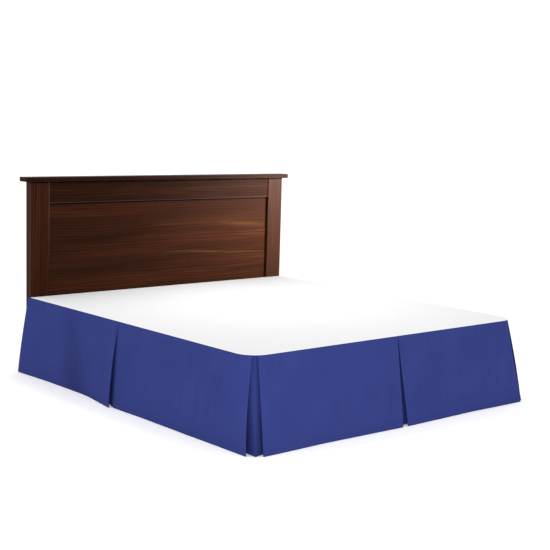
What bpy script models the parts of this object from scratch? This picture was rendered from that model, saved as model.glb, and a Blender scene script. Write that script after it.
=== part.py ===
"""Tailored bed skirt with box pleats, on the plain bed that holds it up.

The skirt is a white deck cloth that lies on the box spring, three blue drops that hang from the deck's
edge almost to the floor, and two blue inserts that turn the foot corners behind the drops' folded ends.
The bed is plain: a box spring on a steel frame, with a panelled wooden headboard.

Units are metres and +Z is up. The foot of the bed faces -Y. The origin is on the floor, at the middle of
the whole object.
"""

import math
from collections import namedtuple

import bmesh
import bpy

# The bed, a 76 by 80 inch size with an 18 inch drop.
DECK_WIDTH = 1.930
DECK_LENGTH = 2.032
DECK_HEIGHT = 0.457
CORNER_RADIUS = 0.105

# The cloth.
CLOTH = 0.002  # thickness of every sheet
LAYER_PITCH = 0.004  # from one folded layer's middle to the next
SEAT_GAP = 0.0003  # between pieces that touch
HEM_HEIGHT = 0.003
CLOTH_ROWS = 8  # rows of faces from the top of a drop to its hem
ARC_STEPS = 5  # faces round half a corner

# How the drops hang. A flare is how far the hem stands out from the deck's edge.
SIDE_FLARE = 0.040
FOOT_FLARE = 0.088
SIDE_BOW = 1.4  # above 1, the drop swings out early and falls nearly plumb to its hem
FOOT_BOW = 1.0
HEAD_LAP = 0.030  # the side drops run this far past the box spring, over the headboard's posts
HEAD_SPREAD = 0.050  # and their head ends slant out by this much more at the hem
SIDE_DIP = 0.010  # a panel's middle hangs in by this much at the hem
FOOT_DIP = 0.008

# Inverted box pleats.
PLEAT_DEPTH = 0.075
FOLD_GAP = 0.0028  # between the middles of two fold edges that meet
PLEAT_Y = 0.078  # the side pleats' tops are a little nearer to the head than the middle
PLEAT_SLANT = 0.014  # and their hems are this much nearer to the foot than their tops
PLEAT_KICK = 0.005  # fold edges stand out by this much at the hem
HEAD_PANEL_KICK = 0.026  # and the head panels' edges by this much, over the foot panels' edges
FOOT_PANEL_CURL = 0.012  # which curl in by this much
SIDE_OPENING = 0.004  # between the fold edges at the hem
FOOT_OPENING = 0.037
SIDE_UNDERLAY = 0.018  # the underlay's hem is this far behind the drop's
FOOT_UNDERLAY = 0.030

# The foot corners. A turn is measured round the deck's corner from the straight edge to the drop's fold
# edge, and the hem places of the two fold edges and of the insert are measured from the corner's tip.
SIDE_TURN = math.radians(49)
FOOT_TURN = math.radians(26)
CORNER_RETURN = 0.075  # length of a drop's end folded back at a foot corner
RETURN_LAYERS = 3  # layer pitches by which the return's free end hangs farther back than its fold
SIDE_HEM_END = -0.036
FOOT_HEM_END = 0.026
INSERT_TAIL = 0.030  # the insert runs this far past the corner's arc
INSERT_CREASE = (-0.007, -0.067)
INSERT_SIDE_HEM = (0.002, 0.060)
INSERT_FOOT_HEM = (0.090, -0.046)

# The box spring and its frame.
BOX_INSET = 0.012  # the cloth's folded layers hang inside the deck's edge
BOX_HEIGHT = 0.2286
BOX_EDGE = 0.010
ANGLE_LEG = 0.040
ANGLE_THICKNESS = 0.003
SIDE_RAIL_X = 0.900
CROSS_RAIL_Y = {"foot": -0.860, "middle": 0.020, "head": 0.900}
LEG_X = {"left": -0.740, "centre": 0.0, "right": 0.740}
LEG_RADIUS = 0.016
LEG_FOOT_RADIUS = 0.026
LEG_FOOT_HEIGHT = 0.018
LEG_FOOT_CONE = 0.010
LEG_FOOT_CHAMFER = 0.002
LEG_SIDES = 20
BRACKET = (0.060, 0.004, 0.100)

# The headboard.
HEADBOARD_GAP = 0.002  # from the deck's head edge to the posts' front
POST_HALF_SPAN = 0.961  # middle of the bed to a post's outer face
POST_WIDTH = 0.120
POST_DEPTH = 0.060
POST_TOP = 1.134
CAP_HALF_WIDTH = 1.001
CAP_THICKNESS = 0.027
CAP_FRONT_OVERHANG = 0.016
CAP_BACK_OVERHANG = 0.006
RAIL_SETBACK = 0.005  # rails behind the posts' front
RAIL_DEPTH = 0.046
TOP_RAIL_BOTTOM = 1.006
BOTTOM_RAIL = (0.300, 0.400)  # lowest and highest points
PANEL_SETBACK = 0.015
PANEL_THICKNESS = 0.016
BOARD_EDGE = 0.0015
CAP_EDGE = 0.003
THIN_EDGE = 0.0008

HALF_WIDTH = DECK_WIDTH / 2
HALF_LENGTH = DECK_LENGTH / 2
DECK_UNDERSIDE = DECK_HEIGHT - CLOTH
UNDER_DECK = DECK_UNDERSIDE - SEAT_GAP  # top of the drops and of the box spring
FRAME_TOP = UNDER_DECK - BOX_HEIGHT - SEAT_GAP
POST_FRONT = HALF_LENGTH + HEADBOARD_GAP
LAYERS = [CLOTH / 2 + layer * LAYER_PITCH for layer in range(3)]  # depths of panel, return and underlay

# The whole object runs from the foot drop's hem to the head ends of the side drops' hems.
FOOT_REACH = HALF_LENGTH + FOOT_FLARE + PLEAT_KICK + CLOTH / 2
HEAD_REACH = HALF_LENGTH + HEAD_LAP + HEAD_SPREAD
ORIGIN_Y = (HEAD_REACH - FOOT_REACH) / 2

# One fold line or panel station of a drop. Along is measured from the foot corner of the deck's outline,
# and depth inward from the deck's edge, so a negative depth stands out from the bed.
Station = namedtuple("Station", "top_along top_depth hem_along hem_depth")


def clear_scene():
    """Remove every object in the file."""
    for found in list(bpy.data.objects):
        bpy.data.objects.remove(found, do_unlink=True)


def make_finish(name, colour, roughness):
    """Return a Principled material of one colour, not metallic."""
    material = bpy.data.materials.new(name)
    material.use_nodes = True
    shader = material.node_tree.nodes["Principled BSDF"]
    shader.inputs["Base Color"].default_value = (*colour, 1.0)
    shader.inputs["Roughness"].default_value = roughness
    shader.inputs["Metallic"].default_value = 0.0
    material.diffuse_color = (*colour, 1.0)
    return material


class Workshop:
    """Holds the object's collection and its origin, and adds each finished piece to both."""

    def __init__(self, name):
        self.collection = bpy.data.collections.new(name)
        bpy.context.scene.collection.children.link(self.collection)
        self.origin = bpy.data.objects.new(name + "_origin", None)
        self.origin.location = (0.0, -ORIGIN_Y, 0.0)
        self.collection.objects.link(self.origin)

    def add(self, name, data, material, location=(0.0, 0.0, 0.0), rotation=(0.0, 0.0, 0.0)):
        """Link a new object with this mesh or curve under the origin."""
        piece = bpy.data.objects.new(name, data)
        piece.location = location
        piece.rotation_euler = rotation
        piece.parent = self.origin
        data.materials.append(material)
        self.collection.objects.link(piece)
        return piece

    def board(self, name, low, high, material, edge=BOARD_EDGE):
        """Add a box between two corners, with its edges eased."""
        size = [b - a for a, b in zip(low, high)]
        middle = [(a + b) / 2 for a, b in zip(low, high)]
        shape = bmesh.new()
        bmesh.ops.create_cube(shape, size=1.0)
        bmesh.ops.scale(shape, vec=size, verts=shape.verts)
        mesh = bpy.data.meshes.new(name)
        shape.to_mesh(mesh)
        shape.free()
        piece = self.add(name, mesh, material, location=middle)
        ease = piece.modifiers.new("eased edges", "BEVEL")
        ease.width = edge
        ease.segments = 2
        return piece

    def plate(self, name, outline, thickness, material, location, rotation=(0.0, 0.0, 0.0), edge=0.0):
        """Add a flat outline as a solid of the given thickness, with round edges where edge is set."""
        curve = bpy.data.curves.new(name, "CURVE")
        curve.dimensions = "2D"
        curve.fill_mode = "BOTH"
        curve.extrude = thickness / 2 - edge
        curve.bevel_depth = edge
        curve.bevel_resolution = 1
        spline = curve.splines.new("POLY")
        spline.points.add(len(outline) - 1)
        for point, (x, y) in zip(spline.points, outline):
            point.co = (x, y, 0.0, 1.0)
        spline.use_cyclic_u = True
        return self.add(name, curve, material, location, rotation)

    def cloth(self, name, rows, material):
        """Add a sheet through rows of points, top to hem, thickened evenly to both sides."""
        width = len(rows[0])
        points = [point for row in rows for point in row]
        faces = []
        for row in range(len(rows) - 1):
            for column in range(width - 1):
                corner = row * width + column
                faces.append((corner, corner + width, corner + width + 1, corner + 1))
        mesh = bpy.data.meshes.new(name)
        mesh.from_pydata(points, [], faces)
        mesh.shade_smooth()
        mesh.set_sharp_from_angle(angle=math.radians(35))
        piece = self.add(name, mesh, material)
        weave = piece.modifiers.new("cloth thickness", "SOLIDIFY")
        weave.thickness = CLOTH
        weave.offset = 0.0
        weave.use_even_offset = True
        return piece


def ease(value):
    """Smooth step from 0 to 1, flat at both ends."""
    value = min(max(value, 0.0), 1.0)
    return value * value * (3.0 - 2.0 * value)


def corner_arc(turn, depth):
    """Return (along, depth) on the deck's rounded corner, turn radians past its start on this side."""
    radius = CORNER_RADIUS - depth
    return CORNER_RADIUS - radius * math.sin(turn), CORNER_RADIUS - radius * math.cos(turn)


def panel_stations(top, hem, steps, hem_depth):
    """Stations of a panel along the deck's edge, closer together towards both ends.

    The places where it begins and ends are given as a pair for its top and a pair for its hem.
    """
    found = []
    for step in range(steps + 1):
        part = ease(step / steps)
        along = top[0] + (top[1] - top[0]) * part
        hem_along = hem[0] + (hem[1] - hem[0]) * part
        found.append(Station(along, LAYERS[0], hem_along, hem_depth(part)))
    return found


def pleat_stations(centre, hem_centre, opening, far_hem, near_hem, underlay_hem):
    """Stations of an inverted box pleat: its far folded layer, its near one, and the underlay behind both.

    A folded layer runs from the panel's fold edge to the inner fold, where the underlay takes over. The
    layers lie flat on each other at the top. At the hem the fold edges stand `opening` apart and the
    underlay is set back behind them.
    """
    layers = []
    underlay = []
    for side, edge_hem in ((1, far_hem), (-1, near_hem)):
        edge = centre + side * FOLD_GAP / 2
        edge_hem_along = hem_centre + side * opening / 2
        inner = centre + side * PLEAT_DEPTH
        inner_hem_along = hem_centre + side * PLEAT_DEPTH
        layer = [
            Station(edge, LAYERS[0], edge_hem_along, edge_hem),
            Station(edge, LAYERS[1], edge_hem_along, edge_hem + LAYER_PITCH),
            Station(inner, LAYERS[1], inner_hem_along, underlay_hem - LAYER_PITCH),
        ]
        layers.append(layer)
        underlay.append(Station(inner, LAYERS[2], inner_hem_along, underlay_hem))
    return layers[0], layers[1][::-1], underlay


def corner_end_stations(turn, flare, hem_end):
    """Stations of a drop's end: round the corner to its fold edge, then folded back behind it."""
    found = []
    for step in range(1, ARC_STEPS + 1):
        part = step / ARC_STEPS
        along, depth = corner_arc(turn * part, LAYERS[0])
        hem_along = CORNER_RADIUS + (hem_end - CORNER_RADIUS) * part
        found.append(Station(along, depth, hem_along, -flare))
    for step in range(ARC_STEPS + 1):
        part = step / ARC_STEPS
        along, depth = corner_arc(turn * (1 - part), LAYERS[1])
        hem_along = hem_end + CORNER_RETURN * part
        hem_depth = -flare + LAYER_PITCH * (1 + RETURN_LAYERS * part)
        found.append(Station(along, depth, hem_along, hem_depth))
    return found


def hang(stations, bow, place):
    """Rows of world points for stations that hang from the deck to the hem.

    A point's depth follows 1 - (1 - v) ** bow on its way down, and its place along the edge moves
    straight, so fold edges stay straight lines.
    """
    rows = []
    for row in range(CLOTH_ROWS + 1):
        fall = row / CLOTH_ROWS
        swing = 1 - (1 - fall) ** bow
        z = UNDER_DECK + (HEM_HEIGHT - UNDER_DECK) * fall
        points = []
        for station in stations:
            along = station.top_along + (station.hem_along - station.top_along) * fall
            depth = station.top_depth + (station.hem_depth - station.top_depth) * swing
            points.append((*place(along, depth), z))
        rows.append(points)
    return rows


def mirrored(rows):
    """The same rows on the bed's other side."""
    return [[(-x, y, z) for x, y, z in row[::-1]] for row in rows]


def left_side(along, depth):
    """World X and Y of a place on the left side's edge."""
    return -HALF_WIDTH + depth, -HALF_LENGTH + along


def foot_side(along, depth):
    """World X and Y of a place on the foot's edge, measured from the left corner."""
    return -HALF_WIDTH + along, -HALF_LENGTH + depth


def side_drop_rows():
    """Rows of the left drop's head part, its foot part and its pleat's underlay."""
    centre = HALF_LENGTH + PLEAT_Y
    hem_centre = centre - PLEAT_SLANT
    start = DECK_LENGTH + HEAD_LAP
    corner = CORNER_RADIUS

    def head_hem(part):
        kick = HEAD_PANEL_KICK * ease((part - 0.7) / 0.3)
        return -SIDE_FLARE + SIDE_DIP * math.sin(math.pi * part) - kick

    def foot_hem(part):
        kick = PLEAT_KICK * (1 - ease(part / 0.6))
        return -SIDE_FLARE - kick + FOOT_PANEL_CURL * (1 - ease(part / 0.05))

    head_panel = panel_stations((start, centre), (start + HEAD_SPREAD, hem_centre), 12, head_hem)
    foot_panel = panel_stations((centre, corner), (hem_centre, corner), 9, foot_hem)
    far_layer, near_layer, underlay = pleat_stations(
        centre, hem_centre, SIDE_OPENING, head_hem(1.0), foot_hem(0.0), -SIDE_FLARE + SIDE_UNDERLAY
    )
    foot_end = corner_end_stations(SIDE_TURN, SIDE_FLARE, SIDE_HEM_END)
    parts = (head_panel[:-1] + far_layer, near_layer + foot_panel[1:] + foot_end, underlay)
    return [hang(stations, SIDE_BOW, left_side) for stations in parts]


def foot_drop_rows():
    """Rows of the foot drop's left part, and of its pleat's underlay."""
    centre = HALF_WIDTH

    def hem(part):
        return -FOOT_FLARE + FOOT_DIP * math.sin(math.pi * part) - PLEAT_KICK * ease((part - 0.6) / 0.4)

    end = corner_end_stations(FOOT_TURN, FOOT_FLARE, FOOT_HEM_END)
    panel = panel_stations((CORNER_RADIUS, centre), (CORNER_RADIUS, centre), 9, hem)
    _, near_layer, underlay = pleat_stations(
        centre, centre, FOOT_OPENING, hem(1.0), hem(1.0), -FOOT_FLARE + FOOT_UNDERLAY
    )
    parts = (end[::-1] + panel[:-1] + near_layer[::-1], underlay[::-1])
    return [hang(stations, FOOT_BOW, foot_side) for stations in parts]


def insert_top():
    """Places of the insert's top edge from the corner's tip: an arc, with a straight tail each side."""
    depth = LAYERS[2]
    radius = CORNER_RADIUS - depth
    steps = 2 * ARC_STEPS
    places = [(depth, CORNER_RADIUS + INSERT_TAIL)]
    for step in range(steps + 1):
        turn = math.pi / 2 * step / steps
        places.append((CORNER_RADIUS - radius * math.cos(turn), CORNER_RADIUS - radius * math.sin(turn)))
    places.append((CORNER_RADIUS + INSERT_TAIL, depth))
    return places


def corner_insert_rows():
    """The left insert: a smooth arc behind the corner at the top, and a creased corner at its hem."""
    top = insert_top()
    middle = len(top) // 2
    hem = []
    for index in range(len(top)):
        part = abs(index - middle) / middle
        outer = INSERT_SIDE_HEM if index < middle else INSERT_FOOT_HEM
        hem.append(tuple(a + (b - a) * part for a, b in zip(INSERT_CREASE, outer)))
    rows = []
    for row in range(CLOTH_ROWS + 1):
        fall = row / CLOTH_ROWS
        z = UNDER_DECK + (HEM_HEIGHT - UNDER_DECK) * fall
        points = []
        for (top_x, top_y), (hem_x, hem_y) in zip(top, hem):
            x = -HALF_WIDTH + top_x + (hem_x - top_x) * fall
            y = -HALF_LENGTH + top_y + (hem_y - top_y) * fall
            points.append((x, y, z))
        rows.append(points)
    return rows


def bed_outline(inset, steps=2 * ARC_STEPS):
    """The deck's outline moved in by inset: square head corners and round foot corners."""
    x = HALF_WIDTH - inset
    y = HALF_LENGTH - inset
    radius = CORNER_RADIUS - inset
    outline = [(x, HALF_LENGTH), (-x, HALF_LENGTH)]
    for side in (-1, 1):
        arc = []
        for step in range(steps + 1):
            turn = math.pi / 2 * step / steps
            across = x - radius + radius * math.cos(turn)
            arc.append((side * across, -y + radius - radius * math.sin(turn)))
        outline += arc if side < 0 else arc[::-1]
    return outline


def build_skirt(shop):
    """The deck, the three drops and the two corner inserts.

    Each drop is one strip of cloth. Its solids part at the pleat's inner folds, behind the panels.
    """
    white = make_finish("white deck cloth", (0.90, 0.90, 0.90), 0.9)
    blue = make_finish("blue brushed cloth", (0.040, 0.052, 0.225), 0.85)
    shop.plate("deck", bed_outline(0.0), CLOTH, white, (0.0, 0.0, DECK_HEIGHT - CLOTH / 2))
    head_part, foot_part, side_underlay = side_drop_rows()
    left_part, foot_underlay = foot_drop_rows()
    sheets = {
        "{}_drop_head_part": head_part,
        "{}_drop_foot_part": foot_part,
        "{}_drop_underlay": side_underlay,
        "foot_drop_{}_part": left_part,
        "corner_insert_{}": corner_insert_rows(),
    }
    for name, rows in sheets.items():
        shop.cloth(name.format("left"), rows, blue)
        shop.cloth(name.format("right"), mirrored(rows), blue)
    shop.cloth("foot_drop_underlay", foot_underlay, blue)


def build_box_spring(shop):
    """One plain box with round edges and round foot corners."""
    ticking = make_finish("box spring ticking", (0.72, 0.72, 0.70), 0.9)
    outline = bed_outline(BOX_INSET + BOX_EDGE)
    outline = [(x, min(y, HALF_LENGTH - BOX_EDGE)) for x, y in outline]
    place = (0.0, 0.0, UNDER_DECK - BOX_HEIGHT / 2)
    shop.plate("box_spring", outline, BOX_HEIGHT, ticking, place, edge=BOX_EDGE)


def angle_outline(leg, thickness):
    """An L section with its corner at the origin, one leg along +X and one along -Y."""
    return [(0, 0), (leg, 0), (leg, -thickness), (thickness, -thickness), (thickness, -leg), (0, -leg)]


def build_frame(shop):
    """Angle-steel rails on nine legs, bolted to the headboard's posts through two brackets."""
    steel = make_finish("black enamelled steel", (0.03, 0.03, 0.032), 0.45)
    section = angle_outline(ANGLE_LEG, ANGLE_THICKNESS)
    foot_end = CROSS_RAIL_Y["foot"] - ANGLE_LEG
    head_end = POST_FRONT - SEAT_GAP - BRACKET[1] - SEAT_GAP
    length = head_end - foot_end
    middle_y = (head_end + foot_end) / 2
    for name, hand in (("left", -1), ("right", 1)):
        # The left rail's section is turned to run along Y with its flange pointing to the middle.
        outline = [(-hand * x, y) for x, y in section][:: -hand]
        shop.plate(
            "frame_side_" + name, outline, length, steel, (hand * SIDE_RAIL_X, middle_y, FRAME_TOP),
            rotation=(math.pi / 2, 0.0, 0.0),
        )
        half = BRACKET[0] / 2
        centre = hand * (SIDE_RAIL_X - ANGLE_LEG / 2)
        top = FRAME_TOP - SEAT_GAP
        shop.board(
            "frame_bracket_" + name,
            (centre - half, head_end + SEAT_GAP, top - BRACKET[2]),
            (centre + half, head_end + SEAT_GAP + BRACKET[1], top),
            steel,
            edge=THIN_EDGE,
        )
    cross_top = FRAME_TOP - ANGLE_THICKNESS - SEAT_GAP
    cross_length = 2 * (SIDE_RAIL_X - ANGLE_THICKNESS - SEAT_GAP)
    for name, y in CROSS_RAIL_Y.items():
        shop.plate(
            "frame_cross_" + name, section, cross_length, steel, (0.0, y - ANGLE_LEG / 2, cross_top),
            rotation=(math.pi / 2, 0.0, math.pi / 2),
        )
        for side, x in LEG_X.items():
            build_leg(shop, "leg_%s_%s" % (name, side), x, y, cross_top - ANGLE_THICKNESS - SEAT_GAP, steel)


def build_leg(shop, name, x, y, top, steel):
    """A round leg with a wide foot: its profile, top to bottom, turned about Z."""
    profile = [
        (0.0, top),
        (LEG_RADIUS, top),
        (LEG_RADIUS, LEG_FOOT_HEIGHT + LEG_FOOT_CONE),
        (LEG_FOOT_RADIUS, LEG_FOOT_HEIGHT),
        (LEG_FOOT_RADIUS, LEG_FOOT_CHAMFER),
        (LEG_FOOT_RADIUS - LEG_FOOT_CHAMFER, 0.0),
        (0.0, 0.0),
    ]
    mesh = bpy.data.meshes.new(name)
    edges = [(index, index + 1) for index in range(len(profile) - 1)]
    mesh.from_pydata([(radius, 0.0, z) for radius, z in profile], edges, [])
    leg = shop.add(name, mesh, steel, location=(x, y, 0.0))
    turn = leg.modifiers.new("turned", "SCREW")
    turn.steps = LEG_SIDES
    turn.render_steps = LEG_SIDES
    turn.use_merge_vertices = True
    turn.merge_threshold = 0.0001
    return leg


def build_headboard(shop):
    """Two posts that stand on the floor, with rails, a recessed panel and a cap plank."""
    walnut = make_finish("dark walnut laminate", (0.075, 0.030, 0.016), 0.45)
    post_inner = POST_HALF_SPAN - POST_WIDTH
    back = POST_FRONT + POST_DEPTH
    for name, hand in (("left", -1), ("right", 1)):
        edges = sorted((hand * post_inner, hand * POST_HALF_SPAN))
        shop.board(
            "headboard_post_" + name,
            (edges[0], POST_FRONT, 0.0),
            (edges[1], back, POST_TOP - SEAT_GAP),
            walnut,
        )
    between = post_inner - SEAT_GAP
    rail_front = POST_FRONT + RAIL_SETBACK
    panel_front = POST_FRONT + PANEL_SETBACK
    shop.board(
        "headboard_top_rail",
        (-between, rail_front, TOP_RAIL_BOTTOM),
        (between, rail_front + RAIL_DEPTH, POST_TOP - SEAT_GAP),
        walnut,
    )
    shop.board(
        "headboard_bottom_rail",
        (-between, rail_front, BOTTOM_RAIL[0]),
        (between, rail_front + RAIL_DEPTH, BOTTOM_RAIL[1]),
        walnut,
    )
    shop.board(
        "headboard_panel",
        (-between, panel_front, BOTTOM_RAIL[1] + SEAT_GAP),
        (between, panel_front + PANEL_THICKNESS, TOP_RAIL_BOTTOM - SEAT_GAP),
        walnut,
        edge=THIN_EDGE,
    )
    shop.board(
        "headboard_cap",
        (-CAP_HALF_WIDTH, POST_FRONT - CAP_FRONT_OVERHANG, POST_TOP),
        (CAP_HALF_WIDTH, back + CAP_BACK_OVERHANG, POST_TOP + CAP_THICKNESS),
        walnut,
        edge=CAP_EDGE,
    )


def main():
    """Build the skirt and the bed under it."""
    clear_scene()
    shop = Workshop("bed_skirt")
    build_skirt(shop)
    build_box_spring(shop)
    build_frame(shop)
    build_headboard(shop)
    bpy.context.view_layer.update()


main()
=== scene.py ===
"""Dresses a tailored bed skirt, and the plain bed that holds it up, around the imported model.

The skirt is a white platform cloth on the box spring, three pleated drops in brushed blue microfibre and
two inserts that turn the foot corners. Each is a thin sheet on the folds of its solid, with its own hem
turned up and sewn. The box spring gets its cover, and the headboard and the steel frame keep their shapes.

Units are metres and +Z is up. The foot of the bed faces -Y. A place on a drop is told by two distances:
along the deck's edge from the corner's tip, and depth inward from that edge, so cloth that stands out has
a negative depth.
"""

import logging
import math
from dataclasses import dataclass, field
from enum import Enum
from typing import Any, Callable, Optional, Sequence, Union

import bpy
import numpy as np
from mathutils import Matrix, Vector


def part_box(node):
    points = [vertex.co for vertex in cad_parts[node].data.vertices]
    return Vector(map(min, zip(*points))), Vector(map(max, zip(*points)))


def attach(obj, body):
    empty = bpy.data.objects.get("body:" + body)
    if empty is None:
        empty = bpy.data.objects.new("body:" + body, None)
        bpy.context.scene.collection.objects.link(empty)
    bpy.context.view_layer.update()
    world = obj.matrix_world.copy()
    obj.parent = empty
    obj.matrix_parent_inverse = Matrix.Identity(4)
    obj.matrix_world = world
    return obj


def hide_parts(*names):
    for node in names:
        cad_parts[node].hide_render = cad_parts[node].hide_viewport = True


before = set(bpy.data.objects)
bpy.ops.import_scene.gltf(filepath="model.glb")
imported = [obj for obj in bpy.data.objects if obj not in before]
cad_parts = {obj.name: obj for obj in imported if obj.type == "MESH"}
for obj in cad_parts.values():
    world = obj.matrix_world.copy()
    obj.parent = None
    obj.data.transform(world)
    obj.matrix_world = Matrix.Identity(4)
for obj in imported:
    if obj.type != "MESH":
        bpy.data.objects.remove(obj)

LOG = logging.getLogger("bed_skirt")
BODY = "root"
MM = 0.001

Socket = bpy.types.NodeSocket
Inputs = Union[dict[Any, Any], Sequence[Any]]


# ---------------------------------------------------------------- colour and nodes


def linear(hex_colour: str) -> tuple[float, float, float, float]:
    """Turn an sRGB hex colour to a linear one.

    Args:
        hex_colour: Six hex digits after a hash sign.

    Returns:
        Red, green, blue and an alpha of 1.
    """
    channels = [int(hex_colour[place : place + 2], 16) / 255 for place in (1, 3, 5)]
    red, green, blue = [c / 12.92 if c <= 0.04045 else ((c + 0.055) / 1.055) ** 2.4 for c in channels]
    return red, green, blue, 1.0


class Paint:
    """A material in the making, and what several finishes draw in it."""

    # Socket numbers of a Mix node set to colours.
    SHARE, BELOW, OVER, MIXED = 0, 6, 7, 2

    def __init__(self, name: str) -> None:
        """Start the material with a bare Principled shader."""
        self.material = bpy.data.materials.new(name)
        self.material.use_nodes = True
        self.tree = self.material.node_tree

    def fill(self, node: bpy.types.Node, inputs: Inputs) -> None:
        """Fill a node's inputs.

        Args:
            node: The node.
            inputs: A value, a hex colour or a socket to link for each input, told by name or in order.
        """
        for key, value in inputs.items() if isinstance(inputs, dict) else enumerate(inputs):
            if isinstance(value, Socket):
                self.tree.links.new(value, node.inputs[key])
            else:
                node.inputs[key].default_value = linear(value) if isinstance(value, str) else value

    def add_node(self, kind: str, inputs: Inputs = (), out: Union[int, str] = 0, **settings: Any) -> Socket:
        """Add one node with its settings, values and links.

        Args:
            kind: The node's Blender type name, after the word ShaderNode. MapRange takes in order its
                value, the range that it comes from and the range that it goes to.
            inputs: What its inputs get, as in fill.
            out: The output that is wanted.
            **settings: The node's own properties.

        Returns:
            That output.
        """
        made = self.tree.nodes.new("ShaderNode" + kind)
        for name, value in settings.items():
            setattr(made, name, value)
        self.fill(made, inputs)
        return made.outputs[out]

    def finish(self, inputs: Inputs) -> bpy.types.Material:
        """Fill the Principled shader's inputs and hand over the material."""
        self.fill(self.tree.nodes["Principled BSDF"], inputs)
        return self.material

    def lay_over(self, below: Union[Socket, str], over: str, share: Socket) -> Socket:
        """Lay a tone over a colour by a share from 0 to 1, and return the mixed colour."""
        inputs = {self.SHARE: share, self.BELOW: below, self.OVER: over}
        return self.add_node("Mix", inputs, self.MIXED, data_type="RGBA")

    def near(self, value: Socket, line: float, reach: float, full: float) -> Socket:
        """Tell how near a value is to a line.

        Args:
            value: The value.
            line: The line's own value.
            reach: Distance past which the result is 0.
            full: Distance within which it is 1.

        Returns:
            The nearness, from 0 to 1.
        """
        offset = self.add_node("Math", (value, line), operation="SUBTRACT")
        distance = self.add_node("Math", (offset,), operation="ABSOLUTE")
        return self.add_node("MapRange", (distance, reach, full))


# ---------------------------------------------------------------- finishes


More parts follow.
